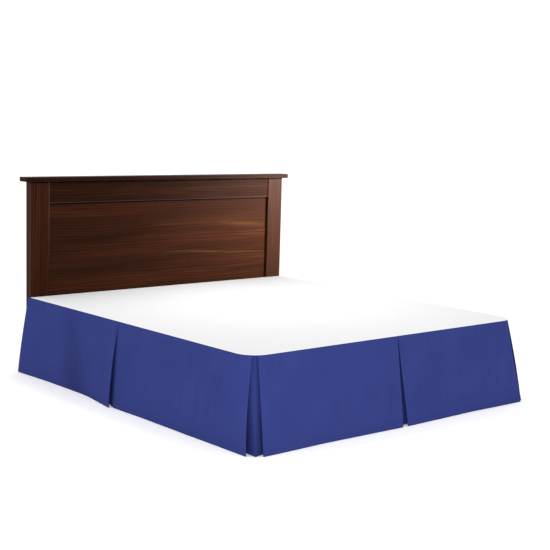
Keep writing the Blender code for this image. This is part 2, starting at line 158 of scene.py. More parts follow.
@dataclass(frozen=True)
class BrushedMicrofibre:
    """Plain-woven polyester microfibre, dyed royal blue and brushed on its face.

    The eye sees a matte, even blue with a soft bloom at grazing angles, faint upright streaks where the nap
    was brushed and, from near by, the hem's line of stitches. Painted shade darkens the troughs, a thin
    line along the seam and the hem, and the layers inside the pleats' folds.
    """

    face: str = "#303A77"
    shade: str = "#2D3670"
    # Painted shade in the troughs.
    trough_shade: str = "#282F62"
    # A painted shade line along the seam and the hem.
    seam_shade: str = "#22285C"
    # Painted shade on the layers inside the pleats' folds.
    fold_shade: str = "#262D64"
    thread: str = "#252B60"
    bloom: str = "#7C86C8"
    streak_width: float = 11 * MM
    streak_length: float = 190 * MM
    cloud_size: float = 200 * MM
    # The real yarns are about 0.25 mm apart. They are drawn at 1.2 mm, the finest that can show.
    yarn_pitch: float = 1.2 * MM
    nap_depth: float = 0.12 * MM
    seam_band: float = 3.5 * MM
    stitch_above_hem: float = 23 * MM
    stitch_pitch: float = 3.2 * MM
    stitch_width: float = 0.5 * MM
    # Where a dash of the thread begins and where it is full, on the sine that makes the dashes.
    dash_range: tuple[float, float] = (-0.7, -0.4)
    # Where the wear begins and where it is full, on the sum of the streaks and the clouds.
    wear_range: tuple[float, float] = (1.25, 0.75)
    nap_strength: float = 0.5
    stitch_strength: float = 0.6
    roughness: float = 0.92
    specular: float = 0.05
    sheen: float = 0.02
    sheen_roughness: float = 0.5

    def stitches(self, paint: Paint, along: Socket, height: Socket, drop: float) -> Socket:
        """Find where the hem's thread shows: short dashes, the upper part of a sine along the hem.

        Args:
            paint: The material in the making.
            along: Distance along the cloth.
            height: Distance down it.
            drop: The same at its hem.

        Returns:
            The share of the thread's tone.
        """
        line = paint.near(height, drop - self.stitch_above_hem, 2 * self.stitch_width, self.stitch_width)
        phase = paint.add_node("Math", (along, 2 * math.pi / self.stitch_pitch), operation="MULTIPLY")
        wave = paint.add_node("Math", (phase,), operation="SINE")
        dash = paint.add_node("MapRange", (wave, *self.dash_range))
        return paint.add_node("Math", (line, dash), operation="MULTIPLY")

    def weave(self, paint: Paint, place: Socket) -> Socket:
        """Draw a plain weave: the product of two sine waves across the warp and the weft.

        Args:
            paint: The material in the making.
            place: The cloth's own place, in metres.

        Returns:
            The weave's height.
        """
        turns = 2 * math.pi / self.yarn_pitch
        scaled = paint.add_node("VectorMath", (place, (turns, turns, 0.0)), operation="MULTIPLY")
        waves = paint.add_node("VectorMath", (scaled,), operation="SINE")
        warp, weft = (paint.add_node("SeparateXYZ", (waves,), axis) for axis in "XY")
        return paint.add_node("Math", (warp, weft), operation="MULTIPLY")

    def wear(self, paint: Paint, place: Socket) -> Socket:
        """Find where the nap is brushed deeper: long upright streaks and slow clouds, added together.

        Args:
            paint: The material in the making.
            place: The cloth's own place, in metres.

        Returns:
            The share of the deeper tone.
        """
        scale = (1 / self.streak_width, 1 / self.streak_length, 1.0)
        drawn_out = paint.add_node("Mapping", {"Vector": place, "Scale": scale})
        streaks = paint.add_node("TexNoise", {"Vector": drawn_out, "Scale": 1.0, "Detail": 3.0})
        clouds = paint.add_node("TexNoise", {"Vector": place, "Scale": 1 / self.cloud_size, "Detail": 2.0})
        both = paint.add_node("Math", (streaks, clouds), operation="ADD")
        return paint.add_node("MapRange", (both, *self.wear_range))

    def build(self, drop: float) -> bpy.types.Material:
        """Make the material.

        Args:
            drop: Height of the cloth from its top seam to its hem, where its UV map's V runs from 0.

        Returns:
            The material. It reads the UV map `cloth`, in metres, and the attributes `inside` and `trough_shade`.
        """
        paint = Paint("brushed_blue_microfibre")
        place = paint.add_node("UVMap", uv_map="cloth")
        along, height = (paint.add_node("SeparateXYZ", (place,), axis) for axis in "XY")
        inside, trough_shade = (
            paint.add_node("Attribute", out="Fac", attribute_name=label) for label in ("inside", "trough_shade")
        )
        # Shares of a painted shade line along the seam and along the hem.
        seam, hem = (paint.near(height, line, self.seam_band, self.seam_band / 2) for line in (0.0, drop))
        edges = paint.add_node("Math", (seam, hem), operation="MAXIMUM")
        stitches = self.stitches(paint, along, height, drop)
        colour = paint.lay_over(self.face, self.shade, self.wear(paint, place))
        # Painted shade in the troughs.
        colour = paint.lay_over(colour, self.trough_shade, trough_shade)
        colour = paint.lay_over(colour, self.seam_shade, edges)
        # Painted shade on the layers inside the pleats' folds.
        colour = paint.lay_over(colour, self.fold_shade, inside)
        colour = paint.lay_over(colour, self.thread, stitches)
        weave = self.weave(paint, place)
        relief = {"Height": weave, "Strength": self.nap_strength, "Distance": self.nap_depth}
        nap = paint.add_node("Bump", relief)
        relief = {"Height": stitches, "Strength": self.stitch_strength, "Distance": self.stitch_width}
        return paint.finish(
            {
                "Base Color": colour,
                "Normal": paint.add_node("Bump", {**relief, "Normal": nap}, invert=True),
                "Roughness": self.roughness,
                "Specular IOR Level": self.specular,
                "Sheen Weight": self.sheen,
                "Sheen Roughness": self.sheen_roughness,
                "Sheen Tint": self.bloom,
            }
        )


@dataclass(frozen=True)
class Pattern:
    """A pattern on Object coordinates: a texture node's type, its inputs, its output and its settings."""

    kind: str
    inputs: dict[str, float]
    out: str = "Fac"
    settings: dict[str, str] = field(default_factory=dict)

    def add_to(self, paint: Paint) -> Socket:
        """Add it to a material."""
        place = paint.add_node("TexCoord", out="Object")
        return paint.add_node(self.kind, {"Vector": place, **self.inputs}, self.out, **self.settings)


def mottle(size: float, detail: float = 2.0) -> Pattern:
    """Noise whose features are about this many metres wide, with so many finer octaves."""
    return Pattern("TexNoise", {"Scale": 1 / size, "Detail": detail})


def ribs(pitch: float) -> Pattern:
    """Slanting ribs, about this many metres apart."""
    # Slanting bands of scale s stand 2 pi / (10 sqrt(3) s) apart, which is 1.15 times the pitch here.
    inputs = {"Scale": 2 * math.pi / (20 * pitch), "Distortion": 0.6}
    return Pattern("TexWave", inputs, settings={"wave_type": "BANDS", "bands_direction": "DIAGONAL"})


@dataclass(frozen=True)
class PlainFinish:
    """A finish of two tones, mixed by one pattern, with a second one as its relief.

    Attributes:
        name: The material's name.
        low: Its tone where the pattern is low.
        high: Its tone where it is high.
        tones: The pattern that mixes them.
        relief: The pattern of its relief.
        strength: How strongly the relief shows.
        depth: Its height.
        roughness: Of its surface.
        specular: Its Specular IOR Level.
        glow: How much light it gives off.
    """

    name: str
    low: str
    high: str
    tones: Pattern
    relief: Optional[Pattern] = None
    strength: float = 0.0
    depth: float = 0.0
    roughness: float = 0.9
    specular: float = 0.5
    glow: float = 0.0

    def build(self) -> bpy.types.Material:
        """Make the material.

        Returns:
            The material, which reads Object coordinates.
        """
        paint = Paint(self.name)
        colour = paint.lay_over(self.low, self.high, self.tones.add_to(paint))
        inputs = {"Base Color": colour, "Roughness": self.roughness, "Specular IOR Level": self.specular}
        if self.relief:
            relief = {"Height": self.relief.add_to(paint), "Strength": self.strength, "Distance": self.depth}
            inputs["Normal"] = paint.add_node("Bump", relief)
        if self.glow:
            inputs |= {"Emission Color": colour, "Emission Strength": self.glow}
        return paint.finish(inputs)


# Plain white woven polyester, calendered smooth, as used for the deck of a bed skirt. The eye sees an even,
# slightly cool white with a hint of the yarns, drawn at 1.5 mm so that they show, and of slow unevenness.
PLATFORM_CLOTH = PlainFinish(
    "white_platform_cloth", "#DEDEE0", "#E2E2E3", mottle(240 * MM), mottle(1.5 * MM, 1.0),
    strength=0.4, depth=0.05 * MM, roughness=0.85, specular=0.2,
)
# Plain off-white ticking, a close twill glued to the box spring's sides and top. The eye sees a warm pale
# cloth with fine ribs.
TICKING = PlainFinish(
    "plain_ticking", "#C9C5BC", "#DEDBD3", ribs(4 * MM), ribs(4 * MM),
    strength=0.3, depth=0.2 * MM, specular=0.2,
)
# Rolled angle steel with a baked black enamel. The eye sees a near-black with a soft gloss and a fine
# orange-peel surface.
ENAMELLED_STEEL = PlainFinish(
    "black_enamelled_steel", "#1C1C1E", "#2A2A2C", mottle(1 / 9, 4.0), mottle(3 * MM),
    strength=0.2, depth=0.1 * MM, roughness=0.42,
)
# Matt paint on a lit studio table, which gives off a little light from below. The eye sees an even white.
FLOOR_PAINT = PlainFinish("pale_floor_paint", "#FCFCFC", "#FAFAFA", mottle(1.25), specular=0.0, glow=0.16)


class Grain(Enum):
    """Which way the printed wood grain runs on a board."""

    ACROSS = "X"
    UP = "Z"


@dataclass(frozen=True)
class EdgeLine:
    """A line along a board's edge: a painted highlight where the edge catches the light, or painted shade
    where boards meet.

    Attributes:
        axis: X for an upright line at this X, Z for a level one at this Z.
        place: Where the line is, in metres.
        tone: Its colour.
        width: Its width.
        strength: How much of the tone shows.
        fade_low: Height at which an upright line has faded to its least.
        fade_high: Height from which it shows in full.
        least: Share of its strength that it fades to.
        core: Share of its width over which it shows in full.
    """

    axis: str
    place: float
    tone: str
    width: float = 5 * MM
    strength: float = 0.6
    fade_low: float = -1.0
    fade_high: float = -0.5
    least: float = 0.25
    core: float = 0.4

    def share(self, paint: Paint) -> Socket:
        """Tell how much of its tone shows: most at its middle, and none past its width.

        Args:
            paint: The material in the making.

        Returns:
            The share of its tone.
        """
        place = paint.add_node("TexCoord", out="Object")
        across, height = (paint.add_node("SeparateXYZ", (place,), axis) for axis in (self.axis, "Z"))
        near = paint.near(across, self.place, self.width, self.core * self.width)
        fade = (height, self.fade_low, self.fade_high, self.least * self.strength, self.strength)
        return paint.add_node("Math", (near, paint.add_node("MapRange", fade)), operation="MULTIPLY")


@dataclass(frozen=True)
class PrintedStreak:
    """One long figure of the printed grain on a level board.

    Attributes:
        tone: Its colour.
        x: Its middle in X.
        z: Its middle in Z.
        length: Half its length.
        width: Half its width.
        strength: How much of the tone shows.
        slant: How far it rises to the right, in radians.
    """

    tone: str
    x: float
    z: float
    length: float
    width: float
    strength: float
    slant: float

    def distance(self, paint: Paint, place: Socket) -> Socket:
        """Measure the distance from its middle, in half lengths and half widths.

        Args:
            paint: The material in the making.
            place: The place in metres.

        Returns:
            The distance.
        """
        inputs = {
            "Vector": place,
            "Location": (self.x, 0.0, self.z),
            "Rotation": (0.0, -self.slant, 0.0),
            "Scale": (self.length, 1000.0, self.width),
        }
        mapped = paint.add_node("Mapping", inputs, vector_type="TEXTURE")
        return paint.add_node("VectorMath", (mapped,), "Value", operation="LENGTH")


@dataclass(frozen=True)
class WalnutLaminate:
    """Melamine laminate printed with dark walnut, with a satin finish.

    The eye sees long, nearly straight streaks along the grain, from near black through red brown to a few
    golden ones, thin dark growth lines that come and go, and a soft gloss with little colour of its own.
    A size is given across the grain and along it. A share says where a tone's mask begins to show it, where
    it shows the most of it, and that most.
    """

    name: str
    grain: Grain
    seed: float = 0.0
    lines: tuple[EdgeLine, ...] = ()
    streaks: tuple[PrintedStreak, ...] = ()
    gloss: float = 0.03
    roughness: float = 0.40
    dark: str = "#160904"
    body: str = "#2E1509"
    red: str = "#3B1A0D"
    golden: str = "#50301A"
    band_size: tuple[float, float] = (48 * MM, 1500 * MM)
    fine_size: tuple[float, float] = (8 * MM, 420 * MM)
    pore_size: tuple[float, float] = (2.2 * MM, 70 * MM)
    bend_size: tuple[float, float] = (70 * MM, 900 * MM)
    fade_size: tuple[float, float] = (24 * MM, 240 * MM)
    red_share: tuple[float, float, float] = (0.42, 0.66, 0.75)
    fine_share: tuple[float, float, float] = (0.50, 0.72, 0.24)
    golden_share: tuple[float, float, float] = (0.06, 0.30, 0.20)
    ring_share: tuple[float, float, float] = (1.0, 1.8, 0.6)
    pore_share: tuple[float, float, float] = (0.54, 0.72, 0.4)
    pore_depth: float = 0.08 * MM
    pore_strength: float = 0.15
    ring_pitch: float = 17 * MM
    ring_bend: float = 16.0
    ring_fade: float = 1.6
    streak_break: float = 1.6
    streak_reach: tuple[float, float] = (2.2, 0.8)
    wander: float = 14 * MM
    wander_scale: float = 1.8

    def drawn_out(self, paint: Paint, place: Socket, size: tuple[float, float], detail: float) -> Socket:
        """Add noise that is drawn out along the grain.

        Args:
            paint: The material in the making.
            place: The place in metres.
            size: Size of a feature across the grain and along it.
            detail: How many finer octaves the noise has.

        Returns:
            The noise, about 0 to 1.
        """
        across, along = 1 / size[0], 1 / size[1]
        scale = (along, across, across) if self.grain is Grain.ACROSS else (across, across, along)
        mapped = paint.add_node("Mapping", {"Vector": place, "Scale": scale})
        inputs = {"Vector": mapped, "Scale": 1.0, "Detail": detail, "Roughness": 0.5}
        return paint.add_node("TexNoise", inputs)

    def wandering_place(self, paint: Paint) -> Socket:
        """Bend Object coordinates by a slow noise, so that the grain wanders by up to half of `wander`.

        Args:
            paint: The material in the making.

        Returns:
            The bent place.
        """
        place = paint.add_node("TexCoord", out="Object")
        moved = self.seeded(paint, place)
        inputs = {"Vector": moved, "Scale": self.wander_scale, "Detail": 1.0}
        slow = paint.add_node("TexNoise", inputs, "Color")
        centred = paint.add_node("VectorMath", (slow, (0.5, 0.5, 0.5)), operation="SUBTRACT")
        bend = paint.add_node("VectorMath", (centred, (2 * self.wander,) * 3), operation="MULTIPLY")
        return paint.add_node("VectorMath", (place, bend), operation="ADD")

    def seeded(self, paint: Paint, place: Socket) -> Socket:
        """A place moved by the seed, so that each board shows its own part of the print."""
        return paint.add_node("VectorMath", (place, (self.seed, 0.0, self.seed)), operation="ADD")

    def growth_lines(self, paint: Paint, place: Socket) -> Socket:
        """Thin growth lines: the peaks of a sine across the grain, which a slow noise bends.

        A second noise lets each line come and go along its length.

        Args:
            paint: The material in the making.
            place: The place in metres.

        Returns:
            A value that is highest on the lines, about -0.5 to 2.
        """
        bend = self.drawn_out(paint, place, self.bend_size, 3.0)
        fade = self.drawn_out(paint, place, self.fade_size, 2.0)
        across = paint.add_node("SeparateXYZ", (place,), "Z" if self.grain is Grain.ACROSS else "X")
        turned = paint.add_node("Math", (across, 2 * math.pi / self.ring_pitch), operation="MULTIPLY")
        phase = paint.add_node("Math", (bend, self.ring_bend, turned), operation="MULTIPLY_ADD")
        wave = paint.add_node("Math", (phase,), operation="SINE")
        return paint.add_node("Math", (fade, self.ring_fade, wave), operation="MULTIPLY_ADD")

    def blend(
        self, paint: Paint, below: Union[Socket, str], over: str, mask: Socket, share: Sequence[float]
    ) -> Socket:
        """Lay one tone over another where a mask is high.

        Args:
            paint: The material in the making.
            below: The colour below.
            over: The tone laid over it.
            mask: The mask.
            share: Where the mask begins to show the tone, where it shows the most, and that most.

        Returns:
            The blended colour.
        """
        low, high, most = share
        shown = paint.add_node("MapRange", (mask, low, high, 0.0, most), interpolation_type="SMOOTHSTEP")
        return paint.lay_over(below, over, shown)

    def build(self) -> bpy.types.Material:
        """Make the material.

        Returns:
            The material, which reads Object coordinates.
        """
        paint = Paint(self.name)
        place = self.wandering_place(paint)
        seeded = self.seeded(paint, place)
        bands = self.drawn_out(paint, seeded, self.band_size, 2.0)
        fine = self.drawn_out(paint, seeded, self.fine_size, 4.0)
        pores = self.drawn_out(paint, seeded, self.pore_size, 2.0)
        contrast = paint.add_node("Math", (bands, fine), operation="SUBTRACT")
        colour = self.blend(paint, self.body, self.red, bands, self.red_share)
        colour = self.blend(paint, colour, self.dark, fine, self.fine_share)
        colour = self.blend(paint, colour, self.golden, contrast, self.golden_share)
        colour = self.blend(paint, colour, self.dark, self.growth_lines(paint, seeded), self.ring_share)
        for streak in self.streaks:
            # The fine grain breaks up a streak's outline.
            inputs = (fine, self.streak_break, streak.distance(paint, place))
            reach = paint.add_node("Math", inputs, operation="MULTIPLY_ADD")
            colour = self.blend(paint, colour, streak.tone, reach, (*self.streak_reach, streak.strength))
        colour = self.blend(paint, colour, self.dark, pores, self.pore_share)
        # Painted highlights and painted shade along the boards' edges.
        for line in self.lines:
            colour = self.blend(paint, colour, line.tone, line.share(paint), (0.0, 1.0, 1.0))
        relief = {"Height": pores, "Strength": self.pore_strength, "Distance": self.pore_depth}
        return paint.finish(
            {
                "Base Color": colour,
                "Normal": paint.add_node("Bump", relief),
                "Roughness": self.roughness,
                "Specular IOR Level": self.gloss,
            }
        )


# ---------------------------------------------------------------- shapes


def ease(value: np.ndarray) -> np.ndarray:
    """Smooth step from 0 to 1, flat at both ends: 3 t^2 - 2 t^3."""
    value = np.clip(value, 0.0, 1.0)
    return value * value * (3.0 - 2.0 * value)


def grid_quads(rows: int, columns: int) -> np.ndarray:
    """Corner numbers of the faces of a grid of points.

    Args:
        rows: How many rows of points it has.
        columns: How many points each row has.

    Returns:
        One row of four numbers for each face.
    """
    corner = np.arange(rows - 1)[:, None] * columns + np.arange(columns - 1)[None, :]
    return np.stack([corner, corner + columns, corner + columns + 1, corner + 1], axis=-1).reshape(-1, 4)


def add_mesh(name: str, points: np.ndarray, faces: Sequence[Sequence[int]]) -> bpy.types.Object:
    """Make a piece with smooth faces and put it in the scene.

    Args:
        name: The new object's name.
        points: Places, with a last axis of three.
        faces: Corner numbers of each face.

    Returns:
        The new object.
    """
    mesh = bpy.data.meshes.new(name)
    mesh.from_pydata(points.reshape(-1, 3), [], faces)
    mesh.shade_smooth()
    piece = bpy.data.objects.new(name, mesh)
    bpy.context.scene.collection.objects.link(piece)
    return piece


def add_grid(
    name: str,
    points: np.ndarray,
    uv: Optional[np.ndarray] = None,
    attributes: Optional[dict[str, np.ndarray]] = None,
) -> bpy.types.Object:
    """Make a surface through a grid of points.

    Args:
        name: The new object's name.
        points: Places, as rows by columns by three.
        uv: The cloth's own place of each point, as rows by columns by two.
        attributes: A number at each point, as rows by columns, for each name.

    Returns:
        The new object.
    """
    quads = grid_quads(*points.shape[:2])
    piece = add_mesh(name, points, quads)
    if uv is not None:
        layer = piece.data.uv_layers.new(name="cloth")
        layer.data.foreach_set("uv", uv.reshape(-1, 2)[quads.reshape(-1)].astype(np.float32).ravel())
    for label, values in (attributes or {}).items():
        made = piece.data.attributes.new(label, "FLOAT", "POINT")
        made.data.foreach_set("value", values.astype(np.float32).ravel())
    return piece


def thicken(piece: bpy.types.Object, thickness: float) -> None:
    """Give a surface an even thickness, half to each side."""
    solid = piece.modifiers.new("cloth thickness", "SOLIDIFY")
    solid.thickness = thickness
    solid.offset = 0.0


def put_in_place(piece: bpy.types.Object, material: bpy.types.Material, slot: str, *nodes: str) -> None:
    """Give a new piece its material and its body, and hide the solids that it stands for.

    Args:
        piece: The piece.
        material: Its material.
        slot: The record's slot for it. Not used.
        *nodes: The solids.
    """
    piece.data.materials.append(material)
    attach(piece, BODY)
    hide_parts(*nodes)
    LOG.info("%s: %s", piece.name, material.name)


@dataclass(frozen=True)
class Bed:
    """The deck's outline and height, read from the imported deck.

    Attributes:
        half_width: From the middle to the deck's side.
        foot: The deck's edge at the foot, in Y.
        head: Its edge at the head, in Y.
        top: Its upper face, in Z.
        corner_radius: Of its two foot corners.
    """

    half_width: float
    foot: float
    head: float
    top: float
    corner_radius: float = 0.105

    @classmethod
    def from_frame(cls) -> "Bed":
        """Read the deck's sizes from the frame."""
        low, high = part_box("deck")
        return cls(half_width=high.x, foot=low.y, head=high.y, top=high.z)

    @property
    def length(self) -> float:
        """The deck's length, from foot to head."""
        return self.head - self.foot

    def edge_distance(self, x: np.ndarray, y: np.ndarray) -> np.ndarray:
        """Distance inward from the deck's outline.

        At the foot it is the distance to a rectangle with round corners: the radius less the length of what
        is left of (|x|, |y|) past the corner's centre. At the head the corners are square.

        Args:
            x: X of each point.
            y: Y of each point.

        Returns:
            The distance of each point.
        """
        across = np.abs(x) - (self.half_width - self.corner_radius)
        down = (self.foot + self.corner_radius) - y
        round_part = self.corner_radius - np.hypot(np.maximum(across, 0.0), np.maximum(down, 0.0))
        inner_part = -np.maximum(across, down)
        near_foot = np.where((across > 0) | (down > 0), round_part, self.corner_radius + inner_part)
        return np.minimum(near_foot, self.head - y)


class Side(Enum):
    """The three sides of the bed that have a drop."""

    LEFT = "left"
    RIGHT = "right"
    FOOT = "foot"

    def place(self, bed: Bed, along: np.ndarray, depth: np.ndarray, z: np.ndarray) -> np.ndarray:
        """World places of points told by their distances along the edge and inward from it.

        Args:
            bed: The deck.
            along: Distance along the edge from the corner's tip.
            depth: Distance inward from the edge.
            z: Height.

        Returns:
            The places, with one more axis of three.
        """
        if self is Side.FOOT:
            x, y = -bed.half_width + along, bed.foot + depth
        else:
            hand = -1.0 if self is Side.LEFT else 1.0
            x, y = hand * (bed.half_width - depth), bed.foot + along
        return np.stack([x, y, z], axis=-1)


# Columns of a section: a station's distance along the edge and its depth, at the top and at the hem, and its
# layer, which is a panel, a folded return, an underlay or a corner insert.
TOP_ALONG, TOP_DEPTH, HEM_ALONG, HEM_DEPTH, LAYER = range(5)
PANEL, RETURN, UNDERLAY, INSERT = range(4)


def between(start: Sequence[float], end: Sequence[float], part: np.ndarray) -> np.ndarray:
    """Stations from one to another, one at each share of the way: start + (end - start) t."""
    return np.asarray(start) + (np.asarray(end) - np.asarray(start)) * part[:, None]


def straight_run(start: Sequence[float], end: Sequence[float], count: int) -> np.ndarray:
    """So many stations evenly from one to another."""
    return between(start, end, np.linspace(0.0, 1.0, count))


def fold_run(start: Sequence[float], end: Sequence[float], bulge: float, count: int = 9) -> np.ndarray:
    """Stations round a fold edge, as half an ellipse from one layer to the next.

    The depth goes from start to end as (1 - cos(pi t)) / 2, while the place along the edge moves out and
    back by bulge times sin(pi t).

    Args:
        start: The last station of the first layer.
        end: The first station of the next.
        bulge: How far the fold reaches along the edge, with its sign.
        count: How many stations there are.

    Returns:
        The stations, count by five.
    """
    turn = np.linspace(0.0, math.pi, count)
    run = between(start, end, (1.0 - np.cos(turn)) / 2)
    run[:, [TOP_ALONG, HEM_ALONG]] += bulge * np.sin(turn)[:, None]
    return run


def join_runs(runs: Sequence[np.ndarray]) -> np.ndarray:
    """Join runs into one section, leaving out each run's first station where it repeats the last."""
    return np.concatenate([runs[0], *[run[1:] for run in runs[1:]]])


@dataclass(frozen=True)
class SoftTrough:
    """A shallow upright trough or ridge in a panel, as cloth has where it was folded or handled.

    Attributes:
        at: Distance along the edge of its middle, at the hem.
        width: Half its width at the hem.
        depth: How far it goes in at the hem, or out where negative.
        start: Share of the fall at which it begins.
        lean: How much farther along its top end is.
        tone: How much painted shade it gets, from 0 to 1.
        top_width: Share of its width that it has at the top.
    """

    at: float
    width: float
    depth: float
    start: float = 0.05
    lean: float = 0.0
    tone: float = 0.0
    top_width: float = 0.55

    def strength(self, along: np.ndarray, fall: np.ndarray) -> np.ndarray:
        """How much of the trough there is: a bell curve across it, which widens and grows to the hem.

        Args:
            along: Distance along the edge of each point, rows by columns.
            fall: Share of the fall of each row, as a column.

        Returns:
            A share from 0 to 1 at each point.
        """
        middle = self.at + self.lean * (1.0 - fall)
        width = self.width * (self.top_width + (1.0 - self.top_width) * fall)
        grown = ease((fall - self.start) / (1.0 - self.start))
        return grown * np.exp(-(((along - middle) / width) ** 2))


@dataclass(frozen=True)
class Sewing:
    """Sizes of the cloth, its seams and its hems, shared by all of the blue pieces."""

    thickness: float = 0.8 * MM
    layer_pitch: float = 4 * MM
    first_layer: float = 0.7 * MM
    fold_gap: float = 2.8 * MM
    fold_bulge: float = 0.9 * MM
    seam_below_deck: float = 2.2 * MM
    seam_roll: float = 0.9 * MM
    hem_height: float = 1.8 * MM
    hem_turn: float = 0.65 * MM
    hem_depth: float = 25 * MM
    side_hem: float = 22 * MM
    # How much painted shade each layer gets inside a fold: a return is deep in it, and an insert is half in
    # it.
    layer_shade: tuple[float, float, float, float] = (0.0, 0.7, 0.0, 0.5)
    # Rows of points: down the panel, round the seam, round the hem's turn and up its inner side.
    rows: int = 56
    roll_rows: int = 5
    turn_rows: int = 7
    up_rows: int = 5

    def layer(self, number: int) -> float:
        """Depth at the top of a layer, by its number."""
        return self.first_layer + number * self.layer_pitch


@dataclass
class HangingSheet:
    """A blue sheet that hangs from the deck's edge to its hem, with its hem turned up inside.

    Attributes:
        name: The piece's name.
        nodes: The solids that it replaces.
        side: The side of the bed that it hangs on.
        bow: Over 1, the cloth swings out early and falls nearly plumb to its hem.
        troughs: Soft troughs of its panels.
        sewing: The cloth's sizes.
    """

    name: str
    nodes: tuple[str, ...]
    side: Side
    bow: float = 1.0
    troughs: tuple[SoftTrough, ...] = ()
    sewing: Sewing = field(default_factory=Sewing)

    def section(self, bed: Bed) -> np.ndarray:
        """Give the stations of the whole sheet. Each kind of sheet has its own."""
        raise NotImplementedError

    def rows(self, bed: Bed) -> tuple[np.ndarray, np.ndarray, np.ndarray]:
        """Heights of the rows, how far each is set in from the sheet's face, and its distance down.

        From the seam the cloth rolls out round a quarter circle, falls to the hem, turns in round a half
        circle and runs up again on the inner side.

        Args:
            bed: The deck.

        Returns:
            Height, inset and distance down the cloth of each row.
        """
        sew = self.sewing
        top = bed.top - sew.seam_below_deck
        quarter = np.linspace(math.pi / 2, 0.0, sew.roll_rows)[:-1]
        roll_z = top - sew.seam_roll + sew.seam_roll * np.sin(quarter)
        roll_in = sew.seam_roll * (1 - np.cos(quarter))
        fall_z = np.linspace(top - sew.seam_roll, sew.hem_height + sew.hem_turn, sew.rows)
        half = np.linspace(0.0, math.pi, sew.turn_rows)[1:]
        turn_z = sew.hem_height + sew.hem_turn * (1 - np.sin(half))
        turn_in = sew.hem_turn * (1 - np.cos(half))
        up_z = np.linspace(sew.hem_height + sew.hem_turn, sew.hem_height + sew.hem_depth, sew.up_rows)[1:]
        z = np.concatenate([roll_z, fall_z, turn_z, up_z])
        inset = np.concatenate([roll_in, 0 * fall_z, turn_in, 0 * up_z + 2 * sew.hem_turn])
        down = np.concatenate([[0.0], np.cumsum(np.hypot(np.diff(z), np.diff(inset)))])
        return z, inset, down

    def inward(
        self, along: np.ndarray, depth: np.ndarray, faces_head: bool
    ) -> tuple[np.ndarray, np.ndarray]:
        """Unit steps from the sheet's face to its wrong side: the section's tangent turned a quarter.

        Args:
            along: Distance along the edge of each point.
            depth: Its depth.
            faces_head: Whether the section runs toward larger distances along the edge.

        Returns:
            The step along the edge and the step inward.
        """
        run = np.gradient(along, axis=1)
        dip = np.gradient(depth, axis=1)
        size = np.hypot(run, dip)
        hand = 1.0 if faces_head else -1.0
        return -hand * dip / size, hand * run / size

    def surface(self, bed: Bed) -> tuple[np.ndarray, np.ndarray, dict[str, np.ndarray]]:
        """The sheet as a function of its run and its fall.

        A point's place along the edge moves straight from the section's top to its hem. Its depth goes the
        same way by 1 - (1 - fall) ^ bow, and the troughs are added to it. The rolled seam and the turned
        hem are then set in from the face.

        Args:
            bed: The deck.

        Returns:
            The places, the cloth's own places in metres, and at each point the share of painted shade inside
            a fold and the share of painted shade in a trough.
        """
        section = self.section(bed)
        z, inset, down = self.rows(bed)
        top = bed.top - self.sewing.seam_below_deck
        fall = np.clip((top - z) / (top - self.sewing.hem_height), 0.0, 1.0)[:, None]
        swing = 1.0 - (1.0 - fall) ** self.bow
        along = section[:, TOP_ALONG] + (section[:, HEM_ALONG] - section[:, TOP_ALONG]) * fall
        depth = section[:, TOP_DEPTH] + (section[:, HEM_DEPTH] - section[:, TOP_DEPTH]) * swing
        on_panel = 1.0 - np.minimum(section[:, LAYER], 1.0)
        # Each trough also adds painted shade, by its tone.
        trough_shade = np.zeros_like(along)
        for trough in self.troughs:
            strength = trough.strength(along, fall) * on_panel
            depth = depth + trough.depth * strength
            trough_shade = trough_shade + trough.tone * strength
        faces_head = bool(section[-1, TOP_ALONG] > section[0, TOP_ALONG])
        step_along, step_in = self.inward(along, depth, faces_head)
        along = along + step_along * inset[:, None]
        depth = depth + step_in * inset[:, None]
        points = self.side.place(bed, along, depth, np.broadcast_to(z[:, None], along.shape))
        hem = section[:, [HEM_ALONG, HEM_DEPTH]]
        run = np.concatenate([[0.0], np.cumsum(np.hypot(*np.diff(hem, axis=0).T))])
        uv = np.stack(np.broadcast_arrays(run[None, :], down[:, None]), axis=-1)
        # Painted shade inside the pleats' folds, by layer.
        inside = np.interp(section[:, LAYER], range(INSERT + 1), self.sewing.layer_shade)
        shares = {
            "inside": np.broadcast_to(inside[None, :], along.shape),
            "trough_shade": np.clip(trough_shade, 0.0, 1.0),
        }
        return points, uv, shares

    def build(self, bed: Bed, material: bpy.types.Material, holder: bpy.types.Object) -> None:
        """Args:
            bed: The deck.
            material: The cloth.
            holder: The piece that it hangs from. Not used.
        """
        points, uv, shares = self.surface(bed)
        if self.side is Side.RIGHT:
            points, uv = points[:, ::-1], uv[:, ::-1]
            shares = {label: values[:, ::-1] for label, values in shares.items()}
        piece = add_grid(self.name, points, uv, shares)
        thicken(piece, self.sewing.thickness)
        put_in_place(piece, material, "skirt_cloth", *self.nodes)


